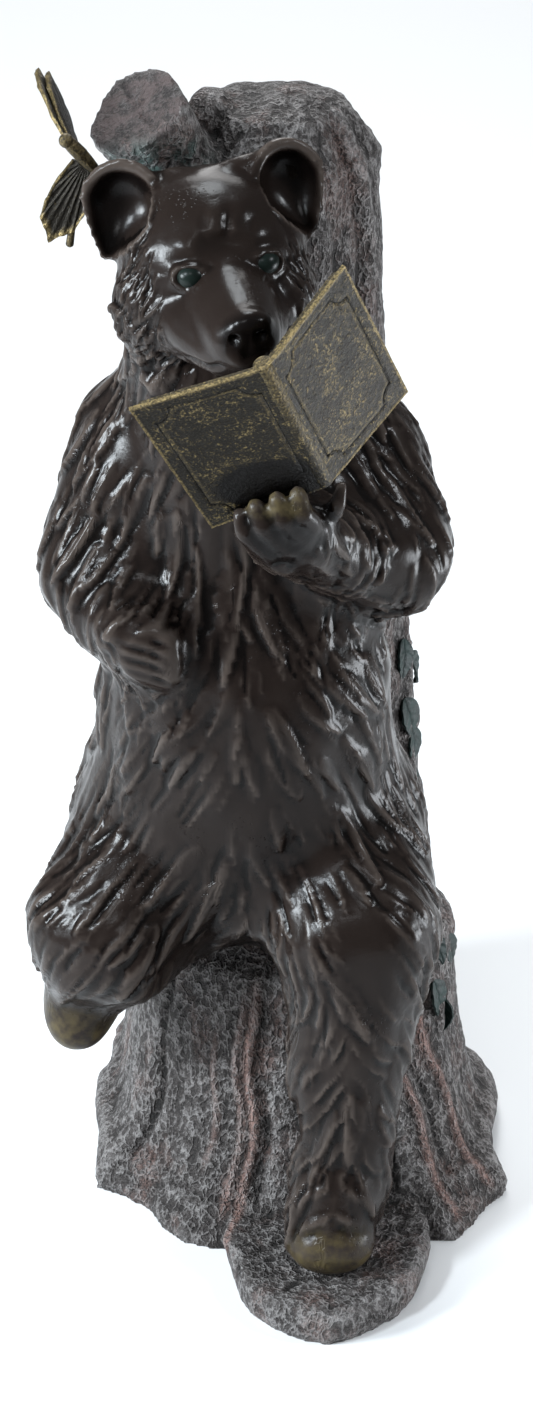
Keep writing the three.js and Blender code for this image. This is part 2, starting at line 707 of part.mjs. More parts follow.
// Bear: one smooth form with fur, then the crisp ears, eyes, fingers and claws
const bearForms = [
  { form: egg(at(-17, -50, 505), at(84, 66, 90)), soft: 1 },
  { form: egg(at(-13, -72, 378), at(92, 82, 118)), soft: 40 },
  { form: egg(at(-16, -62, 286), at(106, 78, 88)), soft: 36 },
  { form: limb(at(-20, -50, 556), at(-30, -62, 640), 68, 53), soft: 30 },
  { form: limb(at(-74, -42, 538), at(-101, -70, 468), 45, 39), soft: 20 },
  { form: limb(at(-102, -74, 460), at(-71, -124, 447), 37, 29), soft: 7 },
  { form: limb(at(48, -45, 536), at(77, -78, 484), 46, 38), soft: 20 },
  { form: limb(at(76, -84, 481), at(16, -146, 528), 35, 25), soft: 10 },
  { form: egg(at(11, -163, 541), at(31, 22, 26)), soft: 10 },
  { form: limb(at(42, -70, 262), at(56, -132, 243), 62, 53), soft: 24 },
  { form: limb(at(57, -134, 238), at(49, -168, 92), 49, 31), soft: 16 },
  { form: egg(at(42, -183, 52), at(34, 38, 27)), soft: 18 },
  { form: limb(at(-58, -70, 258), at(-99, -118, 232), 62, 52), soft: 24 },
  { form: limb(at(-104, -112, 222), at(-118, -100, 172), 44, 27), soft: 14 },
  { form: egg(at(-121, -118, 164), at(24, 30, 24)), soft: 8 },
  { form: egg(at(-30, -68, 671), at(58, 56, 55)), soft: 26 },
  { form: egg(at(-69, -80, 650), at(21, 26, 32)), soft: 16 },
  { form: egg(at(13, -80, 662), at(18, 26, 30)), soft: 16 },
  { form: limb(at(-84, -38, 690), at(-62, -46, 696), 15, 18), soft: 10 },
  { form: limb(at(14, -36, 708), at(-4, -46, 706), 14, 17), soft: 10 },
  { form: limb(at(-24, -110, 677), at(-14, -154, 670), 32, 20), soft: 9 },
  { form: egg(at(-12, -171, 677), at(14, 8, 9)), soft: 4 },
  { form: limb(at(-58, -112, 703), at(-33, -122, 700), 9, 7), soft: 8 },
  { form: limb(at(9, -110, 710), at(-15, -121, 703), 9, 7), soft: 8 },
];

// How much fur a place carries: none on the muzzle, the paws and the soles
function furAmount(point) {
  const bare = [
    { spot: at(-16, -160, 675), reach: 62 },
    { spot: at(-121, -120, 158), reach: 34 },
    { spot: at(41, -200, 45), reach: 34 },
    { spot: at(5, -176, 545), reach: 32 },
  ];
  const gaps = bare.map(({ spot, reach }) => smoothstep(point.distanceTo(spot), share * reach, share * reach * 1.5));
  const onHead = smoothstep(point.z, share * 612, share * 640);
  return Math.min(...gaps) * (1 - 0.5 * onHead);
}

function bearField(point) {
  let distance = Infinity;
  bearForms.forEach(({ form, soft }, index) => {
    distance = index === 0 ? form(point) : blended(distance, form(point), share * soft);
  });
  if (Math.abs(distance) > 3 * BEAR_PITCH) {
    return distance;
  }
  const x = point.x / share;
  const y = point.y / share;
  const z = point.z / share;
  const onLeft = smoothstep(x, 20, 55);
  const axisX = z < 300 ? lerp(-60, 50, onLeft) : -14;
  const turn = Math.atan2(x - axisX, -(y + 60));
  const across = turn * (z < 300 ? 52 : 88) + (z < 300 ? onLeft * 9 : 0);
  return distance - share * FUR_DEPTH * furAmount(point) * furLock(across, DRAWN_HEIGHT - z + 0.25 * Math.abs(x + 14));
}

// An ear is a round cup: a bowl with a rim, facing along its direction
function earGeometry(centre, facing, width, height) {
  const outline = [];
  const steps = 4;
  for (let step = 0; step <= steps; step += 1) {
    const turn = (step / steps) * (Math.PI / 2);
    outline.push(new THREE.Vector2(Math.sin(turn), -0.72 * Math.cos(turn)));
  }
  const rim = EAR_RIM / EAR_RADIUS;
  outline.push(new THREE.Vector2(1 - rim / 2, 0.1));
  for (let step = steps; step >= 0; step -= 1) {
    const turn = (step / steps) * (Math.PI / 2);
    outline.push(new THREE.Vector2((1 - rim) * Math.sin(turn), -(0.72 - 1.6 * rim) * Math.cos(turn)));
  }
  outline[0].x = 0;
  outline[outline.length - 1].x = 0;
  const cup = new THREE.LatheGeometry(outline, 14);
  cup.scale(share * EAR_RADIUS * width, share * EAR_RADIUS, share * EAR_RADIUS * height);
  const forward = facing.clone().normalize();
  const sideways = new THREE.Vector3(0, 0, 1).cross(forward).normalize().negate();
  const upward = sideways.clone().cross(forward).normalize();
  cup.applyMatrix4(new THREE.Matrix4().makeBasis(sideways, forward, upward).setPosition(centre));
  return cup;
}

function eyeGeometry(centre) {
  const ball = new THREE.SphereGeometry(share * EYE_RADIUS, 9, 6);
  ball.translate(centre.x, centre.y, centre.z);
  return ball;
}

const readingFingers = [
  { base: at(0, -178, 540), knuckle: at(-13, -184, 554), tip: at(-15, -183, 561) },
  { base: at(9, -179, 543), knuckle: at(-3, -187, 560), tip: at(-6, -185, 568) },
  { base: at(19, -176, 547), knuckle: at(8, -187, 564), tip: at(6, -186, 573) },
  { base: at(28, -171, 549), knuckle: at(19, -185, 566), tip: at(18, -185, 576) },
  { base: at(34, -158, 548), knuckle: at(41, -164, 562), tip: at(43, -164, 571) },
];

const restingFingers = [-19, -7, 6, 18].map((drop) => ({
  base: at(-76, -138 - 5 * Math.cos(drop / 14), 448 - drop),
  tip: at(-54, -146 - 4 * Math.cos(drop / 14), 446 - drop * 0.9),
}));

function pawSolids(fingers) {
  return fingers.flatMap(({ base, knuckle, tip }) => {
    const stops = knuckle ? [base, knuckle, tip] : [base, tip];
    return stops.slice(1).map((stop, index) => solidOf(roundBar(stops[index], stop, share * FINGER_RADIUS)));
  });
}

function toeSolids() {
  return [-19, -7, 6, 18].map((offset) => {
    const base = at(42 + offset, -200 + Math.abs(offset) * 0.35, 46);
    const tip = at(43 + offset * 1.05, -212 + Math.abs(offset) * 0.4, 38);
    return solidOf(roundBar(base, tip, share * (FINGER_RADIUS + CLAW_RADIUS) * 0.95));
  });
}

function bearGeometry() {
  const low = at(-172, -252, 12);
  const high = at(138, 40, 748);
  // The head gets more faces, and the back that the trunk hides gets few
  const weight = (point) => {
    const intoTrunk = Math.hypot(point.x - trunkCentre.x, point.y - trunkCentre.y) < share * TRUNK_TOP_RADIUS * 1.15;
    return intoTrunk ? 0.05 : 1 + 3 * smoothstep(point.z, share * 600, share * 650);
  };
  const smooth = thinned(polygonsOf(bearField, low, high, share * BEAR_PITCH), BEAR_FACES, weight);
  const ears = [
    earGeometry(at(-84, -64, 700), new THREE.Vector3(-0.22, -0.92, 0.3), 0.85, 1),
    earGeometry(at(14, -62, 717), new THREE.Vector3(0.36, -0.87, 0.3), 0.72, 1),
  ];
  const eyes = [eyeGeometry(at(-45.6, -126, 689)), eyeGeometry(at(-1, -123.5, 695))];
  const extras = [...ears, ...eyes].map(solidOf);
  const whole = join([solidOf(smooth), ...extras, ...pawSolids(readingFingers), ...pawSolids(restingFingers)]);
  const withToes = join([whole, ...toeSolids()]);
  return mainBody(withToes.subtract(stumpSolid(CASTING_GAP)).subtract(bookSolid(CASTING_GAP)));
}

// Finishes
const bronze = new THREE.MeshStandardMaterial({ color: 0x2b221e, roughness: 0.32, metalness: 0.9 });
const bark = new THREE.MeshStandardMaterial({ color: 0x56565a, roughness: 0.75, metalness: 0.5 });
const brass = new THREE.MeshStandardMaterial({ color: 0x5f5330, roughness: 0.45, metalness: 0.85 });
const darkBrass = new THREE.MeshStandardMaterial({ color: 0x4a4030, roughness: 0.45, metalness: 0.85 });

function piece(name, geometry, material) {
  const mesh = new THREE.Mesh(geometry, material);
  mesh.name = name;
  return mesh;
}

const statue = new THREE.Group();
statue.add(piece('tree_stump', mainBody(stumpSolid(0)), bark));
statue.add(piece('bear', bearGeometry(), bronze));
statue.add(piece('book', mainBody(bookSolid(0)), brass));
statue.add(piece('butterfly', butterflyGeometry(), darkBrass));

export default statue;
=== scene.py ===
"""A cast garden statue: a bear on a tree stump reads a book, beside a butterfly. Metres, +Z up."""

import math

import bmesh
import bpy
import numpy as np
from mathutils import Matrix, Quaternion, Vector, noise
from mathutils.bvhtree import BVHTree
from mathutils.kdtree import KDTree


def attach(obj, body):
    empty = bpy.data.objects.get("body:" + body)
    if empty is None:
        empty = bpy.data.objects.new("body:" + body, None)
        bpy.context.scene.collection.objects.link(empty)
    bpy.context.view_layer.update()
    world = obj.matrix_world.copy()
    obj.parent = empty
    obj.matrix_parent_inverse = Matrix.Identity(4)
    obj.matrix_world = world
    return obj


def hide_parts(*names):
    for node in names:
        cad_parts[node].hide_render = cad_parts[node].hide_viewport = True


bl_info = {
    "name": "Reading Bear Garden Statue",
    "version": (1, 0, 0),
    "blender": (4, 5, 0),
    "location": "3D View > Sidebar > Statue",
    "description": "Builds a cast garden statue of a bear that reads on a tree stump",
    "category": "Add Mesh",
}

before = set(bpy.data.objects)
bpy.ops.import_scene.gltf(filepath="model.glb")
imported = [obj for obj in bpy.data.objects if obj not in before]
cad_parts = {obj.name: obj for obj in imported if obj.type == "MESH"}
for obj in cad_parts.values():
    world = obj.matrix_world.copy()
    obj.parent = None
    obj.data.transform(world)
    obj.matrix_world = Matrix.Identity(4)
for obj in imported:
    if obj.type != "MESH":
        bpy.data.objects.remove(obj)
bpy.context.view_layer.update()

MM = 0.001
BODY = "root"

# Places of the castings, in millimetres as the frame has them
HEAD_CENTRE = Vector((-31, -68, 671))
HEAD_YAW = 12
HEAD_ROLL = 6
LEFT_EYE = Vector((-42.4, -117, 682.6))
RIGHT_EYE = Vector((-1.6, -105.4, 685.6))
LEFT_EAR = Vector((-84, -64, 702))
RIGHT_EAR = Vector((14, -62, 715))
BASE_CENTRE = (20, -30)
TRUNK_CENTRE = (14, 33)
TORSO_MIDLINE = -14
SHIN_MIDLINE = 52
STUB_FACE = Vector((-75.6, -15.1, 741))
STUB_AXIS = Vector((-0.4, -0.42, 0.81)).normalized()
FACE_CENTRE = Vector((-24, -100, 676))
FACE_REACH = 70
NOSE = (-10, -168, 668)
READING_PALM = (10, -178, 552)
FINGERTIPS = (4, -190, 577)
FRONT_TOES = (41, -214, 38)
RAISED_SOLE = (-122, -122, 156)
BOOK_CENTRE = Vector((16.6, -195, 626.6))
BOOK_TURNS = (22.9, -19, 29.5)
CAMERA_PLACE = (0, -1.990, 1.550)
CAMERA_TILT = 58.35
CAMERA_LENS = 92.15
TRIANGLES_PER_PIECE = 190000


# Small tools for meshes


def activate(piece):
    """Leaves one object selected and active."""
    bpy.ops.object.select_all(action="DESELECT")
    piece.select_set(True)
    bpy.context.view_layer.objects.active = piece
    return piece


def added(primitive, **settings):
    """Adds a primitive with nothing else selected."""
    bpy.ops.object.select_all(action="DESELECT")
    primitive(**settings)
    return bpy.context.object


def edited(piece, operator, **settings):
    """Runs one operator of edit mode on a whole mesh."""
    activate(piece)
    bpy.ops.object.mode_set(mode="EDIT")
    bpy.ops.mesh.select_all(action="SELECT")
    operator(**settings)
    bpy.ops.object.mode_set(mode="OBJECT")
    return piece


def modified(piece, kind, **settings):
    """Adds a modifier with its settings and applies it."""
    activate(piece)
    modifier = piece.modifiers.new(kind.title(), kind)
    for name, value in settings.items():
        setattr(modifier, name, value)
    bpy.ops.object.modifier_apply(modifier=modifier.name)
    return piece


def points_of(piece):
    """The vertices as an array in millimetres."""
    places = np.zeros(len(piece.data.vertices) * 3)
    piece.data.vertices.foreach_get("co", places)
    return places.reshape(-1, 3) / MM


def place_points(piece, places):
    """Moves the vertices to an array of places in millimetres."""
    piece.data.vertices.foreach_set("co", (places * MM).ravel())
    piece.data.update()


def normals_of(piece):
    """The vertices' normals as an array."""
    normals = np.zeros(len(piece.data.vertices) * 3)
    piece.data.vertex_normals.foreach_get("vector", normals)
    return normals.reshape(-1, 3)


def store(piece, name, values):
    """Keeps a number for each vertex, or one for all of them, which a material can read."""
    attribute = piece.data.attributes.new(name, "FLOAT", "POINT")
    attribute.data.foreach_set("value", np.full(len(piece.data.vertices), values, dtype=np.float32))


def edge_ends(piece):
    """The two vertices of every edge."""
    edges = np.zeros(len(piece.data.edges) * 2, dtype=np.int64)
    piece.data.edges.foreach_get("vertices", edges)
    return edges.reshape(-1, 2).T


def drift(ends, places):
    """How far each place lies from the middle of its neighbours."""
    one, other = ends
    count = len(places)
    near = np.maximum(np.bincount(one, minlength=count) + np.bincount(other, minlength=count), 1)
    sums = [
        np.bincount(one, places[other, axis], count) + np.bincount(other, places[one, axis], count)
        for axis in range(3)
    ]
    return np.stack(sums, axis=1) / near[:, None] - places


# Shares of its drift that a vertex moves in a round of evening, and that it then moves back
EVENING = 0.5
SWELLING = 0.52


def relaxed(piece, rounds, keep_size=True):
    """Evens out the surface; with keep_size each round swells back what it shrank."""
    ends = edge_ends(piece)
    places = points_of(piece)
    for _ in range(rounds):
        places = places + EVENING * drift(ends, places)
        if keep_size:
            places = places - SWELLING * drift(ends, places)
    place_points(piece, places)
    return piece


def evened(piece, values, rounds):
    """A number for each vertex, evened out over its neighbours."""
    ends = edge_ends(piece)
    spread = np.repeat(values[:, None], 3, axis=1)
    for _ in range(rounds):
        spread = spread + EVENING * drift(ends, spread)
    return spread[:, 0]


def ridges(piece, rounds):
    """How far each vertex stands out of the evened surface, in millimetres."""
    ends = edge_ends(piece)
    places = points_of(piece)
    even = places
    for _ in range(rounds):
        even = even + EVENING * drift(ends, even)
    return np.sum((places - even) * normals_of(piece), axis=1)


def copy_of_node(node, name):
    """A merged copy of a node's mesh, as a start for a finer piece."""
    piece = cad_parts[node].copy()
    piece.data = piece.data.copy()
    piece.name = name
    piece.parent = None
    piece.data.materials.clear()
    for key in list(piece.keys()):
        del piece[key]
    bpy.context.scene.collection.objects.link(piece)
    return edited(piece, bpy.ops.mesh.remove_doubles, threshold=0.01 * MM)


def joined(pieces, name):
    """Makes one object of several."""
    bpy.ops.object.select_all(action="DESELECT")
    for piece in pieces:
        piece.select_set(True)
    bpy.context.view_layer.objects.active = pieces[0]
    bpy.ops.object.join()
    pieces[0].name = name
    return pieces[0]


def settled(piece):
    """Puts an object's place into its mesh."""
    activate(piece)
    bpy.ops.object.transform_apply(location=True, rotation=True, scale=True)
    return piece


def egg(centre, radii, turn=None, segments=32):
    """A ball stretched to three radii."""
    sphere = bpy.ops.mesh.primitive_uv_sphere_add
    ball = added(sphere, segments=segments, ring_count=segments // 2, radius=MM)
    ball.scale = radii
    ball.rotation_mode = "QUATERNION"
    ball.rotation_quaternion = turn or Quaternion()
    ball.location = Vector(centre) * MM
    return settled(ball)


def bar(start, end, start_radius, end_radius, segments=20):
    """A round bar that tapers between two round ends."""
    start, end = Vector(start), Vector(end)
    span = end - start
    ball = egg((0, 0, 0), (1, 1, 1), segments=segments)
    places = points_of(ball)
    along = np.clip(np.sign(places[:, 2]) * 0.5 + 0.5, 0, 1)
    radii = start_radius + (end_radius - start_radius) * along
    places = places * radii[:, None]
    places[:, 2] += along * span.length
    turn = np.array(span.to_track_quat("Z", "Y").to_matrix())
    place_points(ball, places @ turn.T + np.array(start))
    return ball


def smooth_shaded(piece, degrees=None):
    """Shades a piece smooth, up to an angle if one is given."""
    activate(piece)
    if degrees is None:
        bpy.ops.object.shade_smooth()
    else:
        bpy.ops.object.shade_smooth_by_angle(angle=math.radians(degrees))
    return piece


def finished(piece, material, replaced=None):
    """Gives a piece its material and its body, and hides the node that it replaces."""
    piece.data.materials.clear()
    piece.data.materials.append(material)
    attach(piece, BODY)
    if replaced:
        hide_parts(replaced)
    return piece


# Sculpting by numbers: every tool takes places in millimetres and moves them


def eased(value, low, high):
    """Zero at low, one at high, smooth between them."""
    share = np.clip((value - low) / (high - low), 0, 1)
    return share * share * (3 - 2 * share)


def nearness(places, spot, reach):
    """One at a spot and zero at its reach, which may differ along each axis."""
    gap = np.linalg.norm((places - np.array(spot)) / np.array(reach), axis=1)
    return np.clip(1 - gap**2, 0, 1) ** 2


def line_distance(places, route):
    """How far each place is from a route of points, and how far along the route it lies, from 0 to 1."""
    route = [np.array(stop, dtype=float) for stop in route]
    lengths = [np.linalg.norm(end - start) for start, end in zip(route, route[1:])]
    best = np.full(len(places), np.inf)
    along = np.zeros(len(places))
    done = 0
    for start, end, length in zip(route, route[1:], lengths):
        span = end - start
        share = np.clip((places - start) @ span / length**2, 0, 1)
        gap = np.linalg.norm(places - start - share[:, None] * span, axis=1)
        closer = gap < best
        best = np.where(closer, gap, best)
        along = np.where(closer, (done + share * length) / sum(lengths), along)
        done += length
    return best, along


def creased(places, normals, route, width, depth):
    """Presses a groove along a route, or raises a ridge at a negative depth. Both ends fade."""
    gap, along = line_distance(places, route)
    fade = np.sqrt(np.clip(np.sin(np.pi * np.clip(along, 0.02, 0.98)), 0, 1))
    return places - normals * (depth * fade * np.exp(-((gap / width) ** 2)))[:, None]


def roughness(places, size, stretch=(1, 1, 1), octaves=2, shift=0.0):
    """Uneven values of about -1 to 1, with lumps of a size in millimetres."""
    scaled = places / (np.array(stretch) * size) + shift
    return np.array([noise.fractal(Vector(spot), 0.9, 2.1, octaves) for spot in scaled])


def lay_locks(places, normals, flow, roots, size, bend, random, scooped=False):
    """Lays overlapping pointed locks along a flow, the lowest first, so that each covers those below it.

    A lock rises to a sharp edge on one side, and a scooped one is an even hollow.
    Gives each place the height of its top lock, from 0 to 1, and its distance across that lock.
    """
    length, width = size
    tree = KDTree(len(places))
    for number, place in enumerate(places):
        tree.insert(place, number)
    tree.balance()
    heights = np.zeros(len(places))
    across = np.zeros(len(places))
    for root in roots[np.argsort(places[roots, 2])]:
        scale = random.uniform(0.5, 1.3)
        reach = length * scale * random.uniform(0.8, 1.2)
        half = 0.5 * width * scale
        curl = bend * random.uniform(-1, 1)
        hand = random.choice((-1, 1))
        tall = random.uniform(0.55, 1.0) * min(1.0, 0.35 + 0.65 * scale)
        found = np.array([entry[1] for entry in tree.find_range(places[root], reach)])
        facing = normals[found] @ normals[root]
        found = found[facing > 0.2]
        offset = places[found] - places[root]
        ahead = flow[root]
        side = np.cross(normals[root], ahead)
        share = np.clip(offset @ ahead / reach, 0, 1)
        swing = curl * reach * (share**2 - 0.35 * share)
        spread = half * np.sin(np.pi * share**0.62) ** 0.8 + 1e-6
        sideways = offset @ side - swing
        level = np.clip(hand * sideways / spread, -1, 1)
        if scooped:
            section = 1 - level**2
        else:
            section = (0.25 + 0.75 * (0.5 + 0.5 * level) ** 1.2) * eased(1 - np.abs(level), 0, 0.34)
        rise = tall * (0.2 + 0.8 * share**0.8) * section * np.clip(12 * (1 - share), 0, 1)
        covered = rise > (heights[found] if scooped else 0.12 * tall)
        heights[found[covered]] = rise[covered]
        across[found[covered]] = sideways[covered]
    return heights, across


# Shader values as Python expressions


class Value:
    """A shader socket that sums, differences and products can be written with."""

    def __init__(self, tree, socket):
        self.tree = tree
        self.socket = socket

    def reckon(self, operation, first, second):
        node = self.tree.nodes.new("ShaderNodeMath")
        node.operation = operation
        for number, value in enumerate((first, second)):
            if isinstance(value, Value):
                self.tree.links.new(value.socket, node.inputs[number])
            else:
                node.inputs[number].default_value = value
        return Value(self.tree, node.outputs[0])

    def __add__(self, other):
        return self.reckon("ADD", self, other)

    def __radd__(self, other):
        return self.reckon("ADD", other, self)

    def __sub__(self, other):
        return self.reckon("SUBTRACT", self, other)

    def __rsub__(self, other):
        return self.reckon("SUBTRACT", other, self)

    def __mul__(self, other):
        return self.reckon("MULTIPLY", self, other)


class Finish:
    """A material that is built node by node on Object coordinates."""

    def __init__(self, name):
        self.material = bpy.data.materials.new(name)
        self.material.use_nodes = True
        self.tree = self.material.node_tree
        self.shader = self.tree.nodes["Principled BSDF"]
        self.place = self.node("ShaderNodeTexCoord", output="Object")

    def node(self, kind, settings=None, values=None, output=0):
        """Makes a node, sets it, feeds its sockets and gives one output."""
        node = self.tree.nodes.new(kind)
        for name, setting in (settings or {}).items():
            setattr(node, name, setting)
        for name, value in (values or {}).items():
            if isinstance(value, Value):
                self.tree.links.new(value.socket, node.inputs[name])
            else:
                node.inputs[name].default_value = value
        return Value(self.tree, node.outputs[output])

    def stretched(self, scale):
        """Object coordinates scaled along each axis, so that a small scale stretches the lumps."""
        return self.node("ShaderNodeMapping", values={"Vector": self.place, "Scale": scale})

    def speckle(self, size, detail=3.0, rough=0.6, vector=None):
        """Noise of about 0 to 1 with lumps of a size in millimetres."""
        values = {
            "Vector": vector or self.place,
            "Scale": 1 / (size * MM),
            "Detail": detail,
            "Roughness": rough,
        }
        return self.node("ShaderNodeTexNoise", values=values)

    def cells(self, size):
        """Distance from the middle of cells of a size in millimetres."""
        values = {"Vector": self.place, "Scale": 1 / (size * MM)}
        return self.node("ShaderNodeTexVoronoi", values=values, output="Distance")

    def attribute(self, name):
        """A number that the mesh keeps for each vertex."""
        return self.node("ShaderNodeAttribute", {"attribute_name": name}, output="Fac")

    def ramp(self, value, low, high):
        """Zero below low and one above high."""
        values = {"Value": value, "From Min": low, "From Max": high}
        return self.node("ShaderNodeMapRange", {"clamp": True, "interpolation_type": "SMOOTHSTEP"}, values)

    def blend(self, factor, one, other):
        """One colour where the factor is 0 and the other where it is 1."""
        node = self.tree.nodes.new("ShaderNodeMix")
        node.data_type = "RGBA"
        for number, value in ((0, factor), (6, one), (7, other)):
            if isinstance(value, Value):
                self.tree.links.new(value.socket, node.inputs[number])
            elif number == 0:
                node.inputs[number].default_value = value
            else:
                node.inputs[number].default_value = (*value, 1)
        return Value(self.tree, node.outputs[2])

    def feed(self, **sockets):
        """Sets or links the shader's own sockets, named with underscores for spaces."""
        for name, value in sockets.items():
            socket = self.shader.inputs[name.replace("_", " ").title().replace("Ior", "IOR")]
            if isinstance(value, Value):
                self.tree.links.new(value.socket, socket)
            else:
                socket.default_value = value
        return self.material

    def bump(self, height, distance):
        """Small relief in millimetres of height."""
        values = {"Height": height, "Distance": distance * MM, "Strength": 1.0}
        return self.node("ShaderNodeBump", values=values)


# Sizes and colours that a user can change


def length_property(name, description, millimetres):
    """A length in metres whose default is given in millimetres."""
    return bpy.props.FloatProperty(
        name=name, description=description, default=millimetres * MM, min=0, unit="LENGTH", precision=4
    )


def colour_property(name, description, default):
    """A colour of three values."""
    return bpy.props.FloatVectorProperty(
        name=name, description=description, default=default, min=0, max=1, size=3, subtype="COLOR"
    )


class StatueSizes(bpy.types.PropertyGroup):
    """Sizes of the finer carving."""

    body_grain: length_property("Body Grain", "Distance between points of the rough bear", 4.6)
    skin_grain: length_property("Skin Grain", "Distance between points of the finished bear", 2.3)
    bark_grain: length_property("Bark Grain", "Distance between points of the stump", 2.75)
    lock_length: length_property("Lock Length", "Length of a lock of fur", 56)
    lock_width: length_property("Lock Width", "Width of a lock of fur", 15)
    lock_height: length_property("Lock Height", "How far a lock of fur stands out", 6.4)
    bark_height: length_property("Bark Height", "How far the bark stands out", 1.5)
    eye_radius: length_property("Eye Radius", "Radius of an eye", 8.4)
    cover_width: length_property("Cover Width", "Width of a cover of the book", 75)
    cover_height: length_property("Cover Height", "Height of the book at its spine", 108)
    cover_thickness: length_property("Cover Thickness", "Thickness of a cover", 2.8)
    border_inset: length_property("Border Inset", "Distance from a cover's edge to its border", 8)
    leaf_thickness: length_property("Leaf Thickness", "Thickness of a leaf of the vine", 1.5)
    wing_thickness: length_property("Wing Thickness", "Thickness of a butterfly wing", 2.2)


class StatueColours(bpy.types.PropertyGroup):
    """Colours of the finishes."""

    bronze: colour_property("Bronze", "Dark brown patina of the bear", (0.0108, 0.0074, 0.0061))
    # Crests: brown from wear together with a painted highlight on the ridges of the locks
    bronze_wear_and_highlight: colour_property("Bronze Crests", "Worn brown and painted highlight on the crests", (0.050, 0.039, 0.033))
    # Hollows: black patina together with painted shade between the locks
    bronze_dark: colour_property("Bronze Hollows", "Black between the locks", (0.0025, 0.0019, 0.0017))
    bronze_olive: colour_property("Olive Paws", "Olive brown of the feet and fingers", (0.060, 0.046, 0.022))
    bark: colour_property("Bark", "Grey of the stump", (0.044, 0.038, 0.036))
    # Bark crests: pale from wear together with a painted highlight
    bark_wear_and_highlight: colour_property("Bark Crests", "Pale rubbed bark", (0.225, 0.212, 0.206))
    # Bark hollows: painted shade in the hollows, and the dark of the mottled sawn face
    bark_dark: colour_property("Bark Hollows", "Dark in the bark's hollows", (0.012, 0.011, 0.0105))
    bark_red: colour_property("Bark Rust", "Red-brown tint in the bark", (0.26, 0.15, 0.125))
    sawn: colour_property("Sawn Wood", "Brown of the sawn face", (0.082, 0.063, 0.060))
    verdigris: colour_property("Verdigris", "Green patina", (0.09, 0.20, 0.18))
    brass: colour_property("Brass", "Antique brass of the book", (0.21, 0.158, 0.070))
    brass_dark: colour_property("Brass Hollows", "Black in the brass", (0.012, 0.0098, 0.007))
    # Engraving, and the painted shadow on the cover above the fingers that hold the book
    brass_engraving_and_shadow: colour_property("Engraving", "Black in the engraved lines and the painted shadow above the fingers", (0.004, 0.0032, 0.0028))
    # Edges: brass bright from wear, and a painted highlight beside the engraved border
    brass_wear_and_highlight: colour_property("Brass Edges", "Rubbed brass and painted highlight", (0.24, 0.178, 0.078))
    leaf: colour_property("Leaf", "Green of the vine", (0.011, 0.018, 0.0165))
    floor: colour_property("Floor", "Pale floor", (0.70, 0.70, 0.70))


# Finishes


def bronze_finish(colours):
    """Dark brown patina, lighter on the crests with wear and a painted highlight, darker in the hollows with
    black patina and painted shade, olive on the feet and fingers, pitted in places.
    """
    paint = Finish("bronze_patina")
    crest = paint.attribute("crest")
    strand = paint.attribute("strand")
    olive = paint.attribute("olive")
    cloud = paint.speckle(60, 2)
    grain = paint.speckle(2.2, 4)
    # The hollows are darkened: black patina together with painted shade between the locks
    base = paint.blend(paint.ramp(crest, 0.5, 0.24) * 0.9, colours.bronze, colours.bronze_dark)
    # The crests are lightened: wear together with a painted highlight on the ridges of the locks
    wear_and_highlight_mask = paint.ramp(crest * 0.8 + cloud * 0.3, 0.52, 1.05)
    rubbed_and_highlighted = paint.blend(wear_and_highlight_mask, base, colours.bronze_wear_and_highlight)
    brown = paint.blend(olive * paint.ramp(paint.speckle(9, 4), 0.3, 0.7), rubbed_and_highlighted, colours.bronze_olive)
    pits = paint.ramp(paint.cells(2.6), 0.12, 0.3)
    pitted = paint.ramp(paint.speckle(38, 2), 0.56, 0.66)
    strands = paint.node("ShaderNodeMath", {"operation": "SINE"}, {0: strand * 1.7 + cloud * 5})
    relief = strands * 0.2 * paint.ramp(cloud, 0.4, 0.6) + grain * 0.18 + pits * pitted * 0.35
    return paint.feed(
        base_color=brown,
        metallic=0.0,
        specular_ior_level=0.12,
        roughness=0.15 + paint.speckle(14, 4) * 0.14 + olive * 0.14,
        normal=paint.bump(relief, 0.6),
    )


